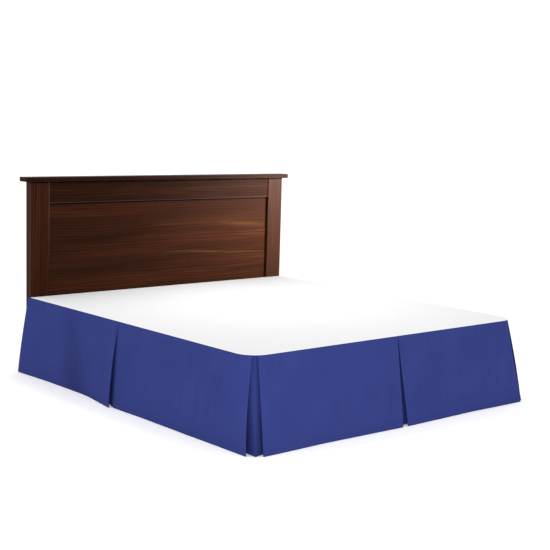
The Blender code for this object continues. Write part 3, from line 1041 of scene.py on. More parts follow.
@dataclass
class Drop(HangingSheet):
    """A pleated drop: panels, an inverted box pleat, and ends folded back behind the foot corners.

    Attributes:
        flare: How far the hem stands out from the deck's edge.
        dip: How far in a panel's middle hangs at the hem.
        pleat_depth: Length of each folded layer of the pleat.
        kick: How far fold edges stand out at the hem.
        opening: Distance between the pleat's fold edges at the hem.
        slant: How far the pleat's hem is along the edge from its top.
        lap: How far the near fold edge's hem slides in behind the far one's.
        underlay: How far the underlay's hem is behind the drop's.
        corner_turn: Angle round the deck's corner from the straight edge to the fold edge.
        hem_end: Where the fold edge is at the hem, past the corner's tip.
        corner_return: Length of the end that is folded back.
        return_layers: Layer pitches by which the return's free end hangs behind its fold.
        layer_columns: Columns of points on each layer of the pleat.
        corner_columns: The same round a corner.
        panel_columns: The same on a panel.
    """

    flare: float = 0.040
    dip: float = 0.010
    pleat_depth: float = 0.075
    kick: float = 0.005
    opening: float = 0.004
    slant: float = 0.0
    lap: float = 0.0
    underlay: float = 0.018
    corner_turn: float = math.radians(49)
    hem_end: float = -0.036
    corner_return: float = 0.075
    return_layers: float = 3.0
    layer_columns: int = 16
    corner_columns: int = 24
    panel_columns: int = 84

    def fold_at_hem(self, centre: float, side: float) -> float:
        """Where the hem of a pleat's fold edge is along the edge: side is 1 for the far one, -1 the near."""
        slid = self.lap if side < 0 else 0.0
        return centre + self.slant + side * (self.opening / 2 + self.sewing.fold_bulge) + slid

    def pleat(self, centre: float, far_hem: float, near_hem: float) -> np.ndarray:
        """Stations of an inverted box pleat, from its far fold edge to its near one.

        Args:
            centre: Distance along the edge of the middle of the pleat's top.
            far_hem: Depth of the far fold edge at the hem.
            near_hem: Depth of the near one.

        Returns:
            The stations, with round fold edges.
        """
        sew = self.sewing
        under = -self.flare + self.underlay
        hem_centre = centre + self.slant
        halves = []
        for side, edge_hem in ((1.0, far_hem), (-1.0, near_hem)):
            edge = centre + side * (sew.fold_gap / 2 + sew.fold_bulge)
            edge_at_hem = self.fold_at_hem(centre, side)
            inner = centre + side * self.pleat_depth
            inner_at_hem = hem_centre + side * self.pleat_depth
            face_edge = (edge, sew.layer(PANEL), edge_at_hem, edge_hem, PANEL)
            back_edge = (edge, sew.layer(RETURN), edge_at_hem, edge_hem + sew.layer_pitch, RETURN)
            back_inner = (inner, sew.layer(RETURN), inner_at_hem, under - sew.layer_pitch, RETURN)
            under_inner = (inner, sew.layer(UNDERLAY), inner_at_hem, under, UNDERLAY)
            middle = (centre, sew.layer(UNDERLAY), hem_centre, under, UNDERLAY)
            half = join_runs(
                [
                    fold_run(face_edge, back_edge, -side * sew.fold_bulge),
                    straight_run(back_edge, back_inner, self.layer_columns),
                    fold_run(back_inner, under_inner, side * sew.fold_bulge),
                    straight_run(under_inner, middle, self.layer_columns),
                ]
            )
            halves.append(half if side > 0 else half[::-1])
        return join_runs(halves)

    def corner_end(self, bed: Bed) -> np.ndarray:
        """Stations round the corner to the fold edge, and folded back behind it.

        At the top a layer runs on an arc about the corner's centre: along = R - r sin(turn) and depth =
        R - r cos(turn). At its hem it runs straight past the corner's tip.

        Args:
            bed: The deck.

        Returns:
            The stations, count by five.
        """
        sew = self.sewing
        radius = bed.corner_radius
        part = np.linspace(0.0, 1.0, self.corner_columns)

        def layer(number: int, turn: np.ndarray) -> tuple[np.ndarray, np.ndarray]:
            """Distance along the edge and depth of a layer at these turns."""
            arc = radius - sew.layer(number)
            return radius - arc * np.sin(turn), radius - arc * np.cos(turn)

        along, depth = layer(PANEL, self.corner_turn * part)
        hem = radius + (self.hem_end + sew.fold_bulge - radius) * part
        out = np.stack([along, depth, hem, np.full_like(part, -self.flare), 0 * part], axis=-1)
        along, depth = layer(RETURN, self.corner_turn * (1.0 - part))
        hem = self.hem_end + sew.fold_bulge + self.corner_return * part
        hem_depth = -self.flare + sew.layer_pitch * (1.0 + self.return_layers * part)
        back = np.stack([along, depth, hem, hem_depth, 0 * part + RETURN], axis=-1)
        return join_runs([out, fold_run(out[-1], back[0], -sew.fold_bulge), back])

    def panel(
        self,
        start: Sequence[float],
        end: Sequence[float],
        hem_depth: Callable[[np.ndarray], np.ndarray],
    ) -> np.ndarray:
        """Stations of a panel, closer together towards its two ends.

        Args:
            start: Its first place along the edge, at the top and at the hem.
            end: Its last one, at the top and at the hem.
            hem_depth: Its depth at the hem, from the share of its length.

        Returns:
            The stations, count by five.
        """
        part = ease(np.linspace(0.0, 1.0, self.panel_columns))
        top = start[0] + (end[0] - start[0]) * part
        hem = start[1] + (end[1] - start[1]) * part
        depth = np.full_like(part, self.sewing.layer(PANEL))
        return np.stack([top, depth, hem, hem_depth(part), 0 * part], axis=-1)


@dataclass
class SideDrop(Drop):
    """The drop on one side, from its hemmed head end to the fold behind the foot corner.

    Attributes:
        pleat_at: The middle of the pleat's top, past the middle of the deck's length.
        head_lap: How far the top runs past the deck, over the headboard's post.
        head_spread: How much farther the hem runs.
        head_kick: How far the head panel's fold edge stands out at the hem.
        foot_curl: How far the foot panel's fold edge curls in at the hem.
        kick_from: Share of the head panel's length at which its kick begins.
        kick_to: Share of the foot panel's length at which the pleat's kick has died out.
        curl_to: The same of its curl.
    """

    bow: float = 1.4
    dip: float = 0.018
    slant: float = -0.014
    lap: float = 0.030
    pleat_at: float = 0.078
    head_lap: float = 0.030
    head_spread: float = 0.050
    head_kick: float = 0.026
    foot_curl: float = 0.012
    kick_from: float = 0.55
    kick_to: float = 0.6
    curl_to: float = 0.05

    def head_hem(self, part: np.ndarray) -> np.ndarray:
        """Hem depth of the head panel: it dips in at its middle and kicks out more and more to its fold."""
        kick = self.head_kick * np.clip((part - self.kick_from) / (1.0 - self.kick_from), 0.0, 1.0) ** 2
        return -self.flare + self.dip * np.sin(math.pi * part) - kick

    def foot_hem(self, part: np.ndarray) -> np.ndarray:
        """Hem depth of the foot panel: it stands out a little by the pleat and curls in at the very edge."""
        kick = self.kick * (1.0 - ease(part / self.kick_to))
        return -self.flare - kick + self.foot_curl * (1.0 - ease(part / self.curl_to))

    def section(self, bed: Bed) -> np.ndarray:
        """Stations from the side hem at the head to the folded end at the foot.

        Args:
            bed: The deck.

        Returns:
            The stations, count by five.
        """
        sew = self.sewing
        centre = bed.length / 2 + self.pleat_at
        head_top = bed.length + self.head_lap
        head_hem = head_top + self.head_spread
        edge = sew.fold_gap / 2 + sew.fold_bulge
        far, near = self.fold_at_hem(centre, 1.0), self.fold_at_hem(centre, -1.0)
        head = self.panel((head_top, head_hem), (centre + edge, far), self.head_hem)
        foot = self.panel((centre - edge, near), (bed.corner_radius, bed.corner_radius), self.foot_hem)
        # The head end's own hem is turned in behind the panel, past the layer that the lower hem takes.
        lap = 4 * sew.hem_turn
        turned = head[0] + np.array([0.0, lap, 0.0, lap, 0.0])
        free = turned - np.array([sew.side_hem, 0.0, sew.side_hem, 0.0, 0.0])
        far_edge, near_edge = float(self.head_hem(np.ones(1))[0]), float(self.foot_hem(np.zeros(1))[0])
        return join_runs(
            [
                straight_run(free, turned, 5),
                fold_run(turned, head[0], sew.fold_bulge, 7),
                head,
                self.pleat(centre, far_edge, near_edge),
                foot,
                self.corner_end(bed),
            ]
        )


@dataclass
class FootDrop(Drop):
    """The drop at the foot, from the fold behind one corner to the fold behind the other.

    Attributes:
        pull: How far the top of its pleat was drawn to the right as it was sewn.
        kick_from: Share of a panel's length, from its corner, at which the pleat's kick begins.
    """

    flare: float = 0.088
    dip: float = 0.004
    opening: float = 0.037
    underlay: float = 0.030
    corner_turn: float = math.radians(26)
    hem_end: float = 0.026
    pull: float = 0.011
    kick_from: float = 0.6

    def panel_hem(self, part: np.ndarray) -> np.ndarray:
        """Hem depth of a panel: it dips in at its middle and stands out at the pleat."""
        kick = self.kick * ease((part - self.kick_from) / (1.0 - self.kick_from))
        return -self.flare + self.dip * np.sin(math.pi * part) - kick

    def section(self, bed: Bed) -> np.ndarray:
        """Stations of the left half, joined to the same half turned over for the right.

        The top is then drawn along by pull * (1 - d), where d goes from 0 at the middle to 1 at a corner.

        Args:
            bed: The deck.

        Returns:
            The stations, count by five.
        """
        sew = self.sewing
        centre = bed.half_width
        edge = sew.fold_gap / 2 + sew.fold_bulge
        panel = self.panel(
            (bed.corner_radius, bed.corner_radius),
            (centre - edge, self.fold_at_hem(centre, -1.0)),
            self.panel_hem,
        )
        fold_depth = float(self.panel_hem(np.ones(1))[0])
        pleat = self.pleat(centre, fold_depth, fold_depth)
        middle = len(pleat) // 2
        left = join_runs([self.corner_end(bed)[::-1], panel, pleat[: middle : -1]])
        right = left[::-1].copy()
        right[:, [TOP_ALONG, HEM_ALONG]] = 2 * centre - right[:, [TOP_ALONG, HEM_ALONG]]
        section = np.concatenate([left, pleat[middle : middle + 1], right])
        from_middle = np.abs(section[:, TOP_ALONG] - centre) / (centre - bed.corner_radius)
        section[:, TOP_ALONG] += self.pull * (1.0 - np.minimum(from_middle, 1.0))
        return section


@dataclass
class CornerInsert(HangingSheet):
    """The underlay that turns a foot corner: a smooth arc at the top, and a creased corner at its hem.

    Attributes:
        tail: How far it runs past the arc on each side.
        crease: Depth of the crease at the hem, and its distance along the edge.
        side_hem_end: The same of its end on the side.
        foot_hem_end: The same of its end on the foot.
        crease_round: Share of the half width over which the crease is rounded.
        bare_turn: Turn round the corner of the middle of its bare part, between the fold edges.
        bare_width: Half the width of that part.
        forward: How far its top comes forward there.
        half_columns: Columns of points to each side of its middle.
    """

    tail: float = 0.030
    crease: tuple[float, float] = (-0.007, -0.067)
    side_hem_end: tuple[float, float] = (0.002, 0.060)
    foot_hem_end: tuple[float, float] = (0.090, -0.046)
    crease_round: float = 0.10
    bare_turn: float = math.radians(56.5)
    bare_width: float = math.radians(5.0)
    forward: float = 5 * MM
    half_columns: int = 44

    def top_places(self, bed: Bed) -> np.ndarray:
        """Depths and distances along the edge of the top: an arc with a straight tail at each end.

        The run is told as one number about the arc's middle, the tails take the outer part of it, and the
        arc is R - r cos(turn), R - r sin(turn). Between the two fold edges, where nothing lies over it, it
        comes forward to the seam by a bell curve.

        Args:
            bed: The deck.

        Returns:
            The places, one row of two for each station.
        """
        arc_radius = bed.corner_radius - self.sewing.layer(UNDERLAY)
        half_arc = arc_radius * math.pi / 4
        run = np.linspace(-1.0, 1.0, 2 * self.half_columns + 1) * (half_arc + self.tail)
        turn = math.pi / 4 + np.clip(run, -half_arc, half_arc) / arc_radius
        over = run - np.clip(run, -half_arc, half_arc)
        radius = arc_radius + self.forward * np.exp(-(((turn - self.bare_turn) / self.bare_width) ** 2))
        depth = bed.corner_radius - radius * np.cos(turn) + np.maximum(over, 0.0)
        along = bed.corner_radius - radius * np.sin(turn) - np.minimum(over, 0.0)
        return np.stack([depth, along], axis=-1)

    def hem_places(self) -> np.ndarray:
        """Depths and distances along the edge of the hem: two straight lines that meet in a round crease.

        Returns:
            The places, one row of two for each station.
        """
        share = np.linspace(-1.0, 1.0, 2 * self.half_columns + 1)
        soft = np.sqrt(share**2 + self.crease_round**2) - self.crease_round
        part = (soft / soft.max())[:, None]
        weight = ease((share / self.crease_round + 1) / 2)[:, None]
        crease = np.asarray(self.crease)
        side = crease + (np.asarray(self.side_hem_end) - crease) * part
        foot = crease + (np.asarray(self.foot_hem_end) - crease) * part
        return side * (1 - weight) + foot * weight

    def section(self, bed: Bed) -> np.ndarray:
        """Stations from its end on the side to its end on the foot."""
        (top_depth, top_along), (hem_depth, hem_along) = self.top_places(bed).T, self.hem_places().T
        layer = np.full_like(top_along, INSERT)
        return np.stack([top_along, top_depth, hem_along, hem_depth, layer], axis=-1)


@dataclass
class DeckCloth:
    """The white platform cloth that lies on the box spring.

    Attributes:
        name: The piece's name.
        thickness: The cloth's.
        rim: Radius with which it turns down at its edge, to the seam.
        columns: Points across it.
        rows: Points along it, past the corners.
        arc_rows: Points along it, on the corners.
        ripples: Middle X and Y, half length, half width and height of each soft ripple.
        first_angle: Turn of the first ripple.
        angle_step: How much more the next one is turned.
        quiet_rim: Distance from the rim within which the ripples die out.
    """

    name: str = "platform_cloth"
    thickness: float = 0.8 * MM
    rim: float = 1.5 * MM
    columns: int = 130
    rows: int = 120
    arc_rows: int = 40
    ripples: tuple[tuple[float, float, float, float, float], ...] = (
        (-0.55, -0.70, 0.42, 0.045, 0.9 * MM),
        (0.38, -0.55, 0.50, 0.060, 0.7 * MM),
        (-0.20, 0.30, 0.60, 0.070, 0.6 * MM),
        (0.62, 0.48, 0.36, 0.050, 0.8 * MM),
        (-0.70, 0.72, 0.30, 0.040, 0.7 * MM),
    )
    first_angle: float = 0.6
    angle_step: float = 0.9
    quiet_rim: float = 0.12

    def outline_grid(self, bed: Bed) -> tuple[np.ndarray, np.ndarray]:
        """X and Y of a grid that fills the deck's outline.

        A row at a given Y reaches from side to side, and near the foot its half width follows the corner:
        half_width - R + sqrt(R^2 - (R - (y - foot))^2). Columns and rows crowd towards the edges.

        Args:
            bed: The deck.

        Returns:
            X and Y of each point, rows by columns.
        """
        radius = bed.corner_radius
        turn = np.linspace(0.0, math.pi / 2, self.arc_rows)
        corner_rows = bed.foot + radius * (1.0 - np.cos(turn))
        rest = (1.0 - np.cos(np.linspace(0.0, math.pi, self.rows))) / 2
        straight_rows = bed.foot + radius + (bed.length - radius) * rest
        y = np.concatenate([corner_rows, straight_rows[1:]])
        short = np.maximum(radius - (y - bed.foot), 0.0)
        half = bed.half_width - radius + np.sqrt(np.maximum(radius**2 - short**2, 0.0))
        across = np.sin(np.linspace(-math.pi / 2, math.pi / 2, self.columns))
        return across[None, :] * half[:, None], np.broadcast_to(y[:, None], (len(y), self.columns))

    def height(self, bed: Bed, x: np.ndarray, y: np.ndarray) -> np.ndarray:
        """Height of the cloth's middle: flat, with soft ripples, and turned down at the rim.

        The rim falls by r - sqrt(r^2 - (r - d)^2), where d is the distance to the outline. A ripple is a
        bell curve along and across its own line, and all of them die out towards the rim.

        Args:
            bed: The deck.
            x: X of each point.
            y: Y of each point.

        Returns:
            Z of each point.
        """
        distance = bed.edge_distance(x, y)
        short = np.clip(self.rim - distance, 0.0, self.rim)
        z = bed.top - self.thickness / 2 - (self.rim - np.sqrt(self.rim**2 - short**2))
        quiet = ease(distance / self.quiet_rim)
        for number, (mid_x, mid_y, half_length, half_width, high) in enumerate(self.ripples):
            angle = self.first_angle + self.angle_step * number
            along = (x - mid_x) * math.cos(angle) + (y - mid_y) * math.sin(angle)
            across = -(x - mid_x) * math.sin(angle) + (y - mid_y) * math.cos(angle)
            bell = np.exp(-((along / half_length) ** 2) - (across / half_width) ** 2)
            z = z + high * bell * quiet
        return z

    def build(self, bed: Bed, material: bpy.types.Material, holder: bpy.types.Object) -> bpy.types.Object:
        """Args:
            bed: The deck.
            material: The cloth's material.
            holder: The piece that it lies on. Not used.

        Returns:
            The new piece.
        """
        x, y = self.outline_grid(bed)
        points = np.stack([x, y, self.height(bed, x, y)], axis=-1)
        piece = add_grid(self.name, points, np.stack([x, y], axis=-1))
        thicken(piece, self.thickness)
        put_in_place(piece, material, "deck_cloth", "deck")
        return piece


@dataclass
class BoxSpring:
    """The box spring's cover: ticking drawn over a timber frame, with a taped edge top and bottom.

    Attributes:
        name: The piece's name.
        inset: How far it stands inside the deck's outline.
        edge: Radius of its long edges.
        tape: How far the taped edges stand proud of the side.
        tape_width: Half the height of a taped edge.
        side_draw: How far the side is drawn in between them.
        arc_points: Points round each foot corner.
        sharp: Angle past which an edge is sharp.
        edge_points: Points round each long edge.
        side_points: Points up the side, between the long edges.
    """

    name: str = "box_spring_cover"
    inset: float = 0.012
    edge: float = 0.010
    tape: float = 1.5 * MM
    tape_width: float = 5 * MM
    side_draw: float = 3 * MM
    arc_points: int = 24
    sharp: float = math.radians(40)
    edge_points: int = 6
    side_points: int = 61

    def profile(self, low: float, high: float) -> tuple[np.ndarray, np.ndarray]:
        """Inset and height of the cover's side, from the middle of its underside to that of its top.

        The long edges are quarter circles. Between them the side is drawn in by side_draw times
        sin(pi t), with a bell-shaped ridge for each taped edge.

        Args:
            low: Height of its underside.
            high: Height of its top.

        Returns:
            Inset from the box spring's face, and height.
        """
        quarter = np.linspace(0.0, math.pi / 2, self.edge_points)
        low_in = self.edge * (1 - np.sin(quarter))
        low_z = low + self.edge * (1 - np.cos(quarter))
        part = np.linspace(0.0, 1.0, self.side_points)[1:-1]
        side_z = low + self.edge + (high - low - 2 * self.edge) * part
        from_low = (side_z - low - self.edge - 2 * self.tape_width) / self.tape_width
        from_high = (high - self.edge - 2 * self.tape_width - side_z) / self.tape_width
        ridges = np.exp(-(from_low**2)) + np.exp(-(from_high**2))
        side_in = self.side_draw * np.sin(math.pi * part) + self.tape - self.tape * ridges
        high_in, high_z = low_in[::-1], high - (low_z[::-1] - low)
        return np.concatenate([low_in, side_in, high_in]), np.concatenate([low_z, side_z, high_z])

    def outline(self, bed: Bed, inset: np.ndarray) -> tuple[np.ndarray, np.ndarray]:
        """Points round the box spring at each inset: a rectangle whose foot corners are round.

        Args:
            bed: The deck.
            inset: Inset of each row from the box spring's face.

        Returns:
            X and Y, rows by points, with the first point repeated at the end.
        """
        total = self.inset + inset[:, None]
        radius = bed.corner_radius - total
        turn = np.linspace(0.0, math.pi / 2, self.arc_points)[None, :]
        centre_x = bed.half_width - bed.corner_radius
        centre_y = bed.foot + bed.corner_radius
        left_x, left_y = -centre_x - radius * np.cos(turn), centre_y - radius * np.sin(turn)
        right_x, right_y = -left_x[:, ::-1], left_y[:, ::-1]
        head = np.broadcast_to(bed.head - inset[:, None], (len(inset), 1))
        side = bed.half_width - total
        x = np.concatenate([left_x, right_x, side, -side, left_x[:, :1]], axis=1)
        y = np.concatenate([left_y, right_y, head, head, left_y[:, :1]], axis=1)
        return x, y

    def build(self, bed: Bed, material: bpy.types.Material) -> bpy.types.Object:
        """Make the cover as a closed shell and put it in the solid's place.

        Args:
            bed: The deck.
            material: The ticking.

        Returns:
            The new piece.
        """
        low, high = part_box("box_spring")
        inset, z = self.profile(low.z, high.z)
        x, y = self.outline(bed, inset)
        points = np.stack([x, y, np.broadcast_to(z[:, None], x.shape)], axis=-1)[:, :-1]
        rows, columns, _ = points.shape
        wrapped = grid_quads(rows, columns + 1)
        row, column = wrapped // (columns + 1), wrapped % (columns + 1)
        quads = (row * columns + column % columns).tolist()
        faces = quads + [list(range(columns)), list(range((rows - 1) * columns, rows * columns))[::-1]]
        piece = add_mesh(self.name, points, faces)
        piece.data.set_sharp_from_angle(angle=self.sharp)
        put_in_place(piece, material, "ticking", "box_spring")
        return piece


# ---------------------------------------------------------------- carried-over solids


def dress(node: str, material: bpy.types.Material) -> None:
    """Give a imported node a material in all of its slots.

    Args:
        node: The node's name.
        material: The material.
    """
    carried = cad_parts[node]
    if not carried.material_slots:
        carried.data.materials.append(material)
    for slot in carried.material_slots:
        slot.material = material
    LOG.info("%s: %s", node, material.name)


@dataclass
class Headboard:
    """The headboard's six boards in walnut laminate, each with its grain along its length.

    Attributes:
        edge_highlight: Tone of the painted highlight on an edge that catches the light.
        shadow: Tone of the painted shade where one board meets another, under the cap and under the top
            rail.
        gold: Tone of the panel's pale figures.
        red: Tone of its red ones.
        dark: Tone of its dark ones.
        gap: Width of a painted shade line where boards meet, and how far the one under the top rail sits
            below it.
        deep_tones: Tones of the rails and the cap, whose print is a little darker than the panel's.
    """

    edge_highlight: str = "#65473B"
    shadow: str = "#080302"
    gold: str = "#6F4824"
    red: str = "#3D1B0C"
    dark: str = "#0B0503"
    gap: float = 5 * MM
    deep_tones: dict[str, str] = field(
        default_factory=lambda: {"body": "#241006", "red": "#311609", "golden": "#422814"}
    )

    def panel_streaks(self) -> tuple[PrintedStreak, ...]:
        """Place the panel's main figures, from the photograph.

        Returns:
            The figures, in the order in which they are laid over each other.
        """
        figures = {
            self.gold: (
                (0.40, 0.655, 0.48, 0.008, 0.22, -0.05),
                (0.66, 0.828, 0.22, 0.016, 0.20, -0.04),
                (0.40, 0.860, 0.50, 0.040, 0.07, 0.0),
            ),
            self.red: (
                (-0.35, 0.935, 0.50, 0.018, 0.50, 0.02),
                (-0.30, 0.695, 0.50, 0.030, 0.50, 0.03),
                (-0.50, 0.535, 0.40, 0.030, 0.45, 0.02),
                (0.30, 0.740, 0.40, 0.020, 0.35, -0.02),
            ),
            self.dark: (
                (-0.45, 0.790, 0.35, 0.024, 0.45, 0.06),
                (-0.35, 0.610, 0.45, 0.022, 0.45, 0.03),
                (0.64, 0.790, 0.22, 0.013, 0.35, 0.02),
                (0.70, 0.530, 0.20, 0.012, 0.35, 0.05),
            ),
        }
        return tuple(PrintedStreak(tone, *numbers) for tone, rows in figures.items() for numbers in rows)

    def finishes(self) -> dict[str, WalnutLaminate]:
        """Choose the laminate of each board, with the edges that catch the light in the photograph's view.

        Returns:
            The laminate for each node's name.
        """
        _, post_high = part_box("headboard_post_left")
        post_low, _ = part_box("headboard_post_right")
        rail_low, rail_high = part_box("headboard_top_rail")
        # Painted highlights on the edges that catch the light: the left post's inner edge, strongest near
        # its top, and the top rail's lower edge.
        inner_edge_highlight = EdgeLine(
            "X", post_high.x, self.edge_highlight, strength=0.9, fade_low=0.55, fade_high=post_high.z - 0.05
        )
        rail_edge_highlight = EdgeLine("Z", rail_low.z, self.edge_highlight, strength=0.45)
        # Painted shade under the cap, under the top rail and beside the posts, where the boards meet.
        under_cap_shadow = EdgeLine("Z", rail_high.z, self.shadow, 14 * MM, 0.8)
        under_rail_shadow = EdgeLine("Z", rail_low.z - self.gap, self.shadow, 1.6 * self.gap, 0.9)
        left_joint_shade = EdgeLine("X", post_high.x, self.shadow, self.gap, 0.8)
        right_joint_shade = EdgeLine("X", post_low.x, self.shadow, self.gap, 0.8)
        panel_lines = (under_rail_shadow, left_joint_shade, right_joint_shade)
        rail_lines = (under_cap_shadow, rail_edge_highlight, left_joint_shade, right_joint_shade)
        finishes = (
            WalnutLaminate("walnut_post_left", Grain.UP, 1.7, (under_cap_shadow, inner_edge_highlight)),
            WalnutLaminate("walnut_post_right", Grain.UP, 4.3, (under_cap_shadow,), gloss=0.065),
            WalnutLaminate("walnut_top_rail", Grain.ACROSS, 6.1, rail_lines, **self.deep_tones),
            WalnutLaminate("walnut_bottom_rail", Grain.ACROSS, 8.9, **self.deep_tones),
            WalnutLaminate("walnut_panel", Grain.ACROSS, 2.6, panel_lines, self.panel_streaks()),
            WalnutLaminate("walnut_cap", Grain.ACROSS, 9.7, **self.deep_tones),
        )
        return {finish.name.replace("walnut", "headboard"): finish for finish in finishes}

    def build(self) -> None:
        """Dress each board."""
        for node, finish in self.finishes().items():
            dress(node, finish.build())


@dataclass
class SteelFrame:
    """The frame's rails, brackets and legs in black enamel."""

    starts: tuple[str, ...] = ("frame_", "leg_")

    def build(self) -> None:
        """Dress every node whose name starts so."""
        material = ENAMELLED_STEEL.build()
        for node in sorted(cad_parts):
            if node.startswith(self.starts):
                dress(node, material)


# ---------------------------------------------------------------- the skirt


@dataclass
class Skirt:
    """The whole skirt: the platform cloth, three drops and two corner inserts."""

    cloth: BrushedMicrofibre = field(default_factory=BrushedMicrofibre)
    deck: DeckCloth = field(default_factory=DeckCloth)

    def hanging_sheets(self) -> list[HangingSheet]:
        """List the blue sheets, with their soft troughs given one by one.

        Returns:
            The three drops and the two inserts.
        """
        troughs = {
            Side.LEFT: (
                # This trough is nearly flat: its darkness is painted shade.
                SoftTrough(1.49, 0.120, 0.001, start=-0.6, lean=0.08, tone=1.0),
                SoftTrough(1.36, 0.120, 0.006),
                SoftTrough(1.82, 0.130, 0.0015),
                SoftTrough(0.80, 0.090, 0.0025),
                SoftTrough(0.42, 0.120, -0.002),
            ),
            Side.RIGHT: (
                SoftTrough(1.55, 0.110, 0.005, lean=-0.04),
                SoftTrough(1.25, 0.100, -0.002),
                SoftTrough(0.70, 0.100, 0.004, lean=0.03),
                SoftTrough(0.36, 0.090, -0.002),
            ),
            Side.FOOT: (
                SoftTrough(0.40, 0.110, 0.003, start=0.3, lean=-0.10),
                SoftTrough(0.68, 0.120, -0.002),
                SoftTrough(1.25, 0.120, -0.002),
                SoftTrough(1.52, 0.110, 0.003, start=0.2),
            ),
        }
        sheets: list[HangingSheet] = []
        for side, soft in troughs.items():
            kind, ends = (FootDrop, ("left", "right")) if side is Side.FOOT else (SideDrop, ("head", "foot"))
            parts = (*(f"{end}_part" for end in ends), "underlay")
            nodes = tuple(f"{side.value}_drop_{part}" for part in parts)
            sheets.append(kind(f"skirt_drop_{side.value}", nodes, side, troughs=soft))
        for side in (Side.LEFT, Side.RIGHT):
            sheets.append(CornerInsert(f"skirt_insert_{side.value}", (f"corner_insert_{side.value}",), side))
        return sheets

    def build(self, bed: Bed, box_spring: bpy.types.Object) -> None:
        """Make each sheet.

        Args:
            bed: The deck.
            box_spring: The piece that the platform cloth lies on.
        """
        platform = self.deck.build(bed, PLATFORM_CLOTH.build(), box_spring)
        sewing = Sewing()
        blue = self.cloth.build(bed.top - sewing.seam_below_deck - sewing.hem_height)
        for sheet in self.hanging_sheets():
            sheet.build(bed, blue, platform)


# ---------------------------------------------------------------- studio


@dataclass(frozen=True)
class PhotoCamera:
    """The camera that took the photograph, as its perspective gives it.

    Attributes:
        location: Its place.
        yaw: Degrees from +Y towards +X.
        pitch: Degrees below the horizon.
        roll: Degrees clockwise.
        focal_pixels: Focal length, for a picture 550 pixels wide.
        picture: The picture's width in pixels.
        sensor: The sensor's width in millimetres.
        clip: The nearest and the farthest distance that it sees.
    """

    location: tuple[float, float, float] = (-4.3137, -5.0659, 1.5406)
    yaw: float = 40.679
    pitch: float = 7.627
    roll: float = 1.6
    focal_pixels: float = 1173.0
    picture: float = 550.0
    sensor: float = 36.0
    clip: tuple[float, float] = (0.1, 200.0)

    def rotation(self) -> Matrix:
        """Work out the camera's turn: it looks along its -Z, with right and up rolled about that line.

        Returns:
            The turn, as a matrix of three by three.
        """
        yaw, pitch, roll = math.radians(self.yaw), math.radians(self.pitch), math.radians(self.roll)
        forward = Vector(
            (math.sin(yaw) * math.cos(pitch), math.cos(yaw) * math.cos(pitch), -math.sin(pitch))
        )
        level_right = Vector((math.cos(yaw), -math.sin(yaw), 0.0))
        level_up = level_right.cross(forward)
        right = math.cos(roll) * level_right + math.sin(roll) * level_up
        up = -math.sin(roll) * level_right + math.cos(roll) * level_up
        return Matrix((right, up, -forward)).transposed()

    def build(self) -> None:
        """Make the camera and set it as the scene's."""
        data = bpy.data.cameras.new("photo_camera")
        data.sensor_width = self.sensor
        data.lens = self.focal_pixels * self.sensor / self.picture
        data.clip_start, data.clip_end = self.clip
        camera = bpy.data.objects.new("photo_camera", data)
        camera.matrix_world = Matrix.Translation(self.location) @ self.rotation().to_4x4()
        bpy.context.scene.collection.objects.link(camera)
        bpy.context.scene.camera = camera


@dataclass(frozen=True)
class SoftBox:
    """One square softbox.

    Attributes:
        name: The light's name.
        place: Where it stands.
        target: The point that it faces.
        size: Length of its side.
        watts: Its power.
        spread: Angle of its cone in degrees, 180 for an open one.
        only: Nodes whose names begin so are the only ones that flags let it reach. Empty lets it reach all.
    """

    name: str
    place: tuple[float, float, float]
    target: tuple[float, float, float]
    size: float
    watts: float
    spread: float = 180.0
    only: str = ""

    def build(self) -> None:
        """Make the light, unseen by the camera."""
        data = bpy.data.lights.new(self.name, "AREA")
        data.shape = "SQUARE"
        data.size = self.size
        data.energy = self.watts
        data.spread = math.radians(self.spread)
        light = bpy.data.objects.new(self.name, data)
        direction = Vector(self.target) - Vector(self.place)
        light.matrix_world = (
            Matrix.Translation(self.place) @ direction.to_track_quat("-Z", "Y").to_matrix().to_4x4()
        )
        light.visible_camera = False
        bpy.context.scene.collection.objects.link(light)
        if self.only:
            lit = bpy.data.collections.new(self.name + "_reaches")
            for name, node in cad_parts.items():
                if name.startswith(self.only):
                    lit.objects.link(node)
            light.light_linking.receiver_collection = lit


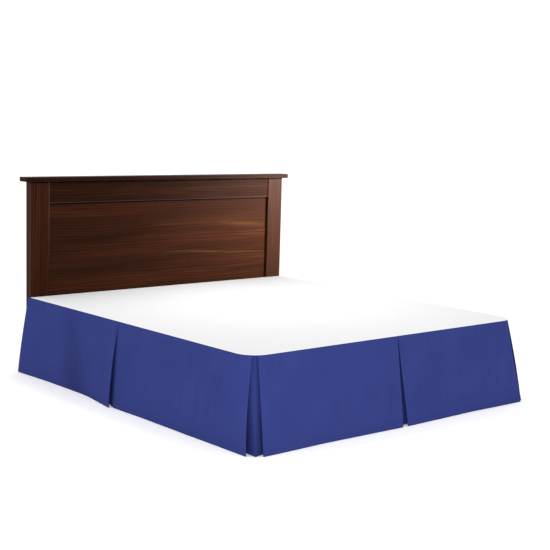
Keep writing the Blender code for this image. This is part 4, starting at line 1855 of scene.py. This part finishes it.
@dataclass(frozen=True)
class Studio:
    """A white room: a pale floor under an even white sky, with softboxes.

    Attributes:
        floor_radius: Of the floor's disc.
        floor_turns: Points round each ring of it.
        floor_rings: How many rings it has, closer together towards the middle.
        sky_strength: Brightness of the even light from all round.
        lights: The softboxes.
    """

    floor_radius: float = 70.0
    floor_turns: int = 97
    floor_rings: int = 12
    sky_strength: float = 1.05
    lights: tuple[SoftBox, ...] = (
        SoftBox("key_softbox", (-3.9, -5.2, 1.8), (-0.7, -0.9, 0.2), 2.0, 43.0, spread=110.0),
        SoftBox("overhead_softbox", (0.22, 0.5, 2.6), (0.22, 0.5, 0.4), 1.0, 6.8, spread=90.0),
        SoftBox("headboard_softbox", (2.5, -0.9, 1.9), (1.25, 1.02, 1.15), 0.8, 36.0, 42.0, "headboard"),
    )

    def build_floor(self) -> None:
        """Lay the floor: rings of points about the origin, out to the floor's radius."""
        turn = np.linspace(0.0, 2 * math.pi, self.floor_turns)
        radius = self.floor_radius * np.linspace(0.02, 1.0, self.floor_rings) ** 2
        x, y = radius[:, None] * np.cos(turn), radius[:, None] * np.sin(turn)
        points = np.stack([x, y, np.zeros_like(x)], axis=-1)
        points[0, :, :2] = 0.0
        floor = add_grid("studio_floor", points)
        floor.data.materials.append(FLOOR_PAINT.build())

    def build_sky(self) -> None:
        """Light the scene evenly from all round."""
        world = bpy.data.worlds.new("white_sky")
        world.use_nodes = True
        background = world.node_tree.nodes["Background"]
        background.inputs["Color"].default_value = (1.0, 1.0, 1.0, 1.0)
        background.inputs["Strength"].default_value = self.sky_strength
        bpy.context.scene.world = world

    def build(self) -> None:
        """Make the floor, the sky, the softboxes and the camera."""
        bpy.context.scene.view_settings.view_transform = "Standard"
        PhotoCamera().build()
        self.build_floor()
        self.build_sky()
        for light in self.lights:
            light.build()
            LOG.info("%s: %.0f W", light.name, light.watts)


def main() -> None:
    """Build the studio, the bed and the skirt in turn."""
    logging.basicConfig(level=logging.INFO, format="%(name)s %(message)s")
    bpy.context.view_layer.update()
    Studio().build()
    bed = Bed.from_frame()
    Skirt().build(bed, BoxSpring().build(bed, TICKING.build()))
    Headboard().build()
    SteelFrame().build()
    bpy.context.view_layer.update()


if __name__ == "__main__":
    main()
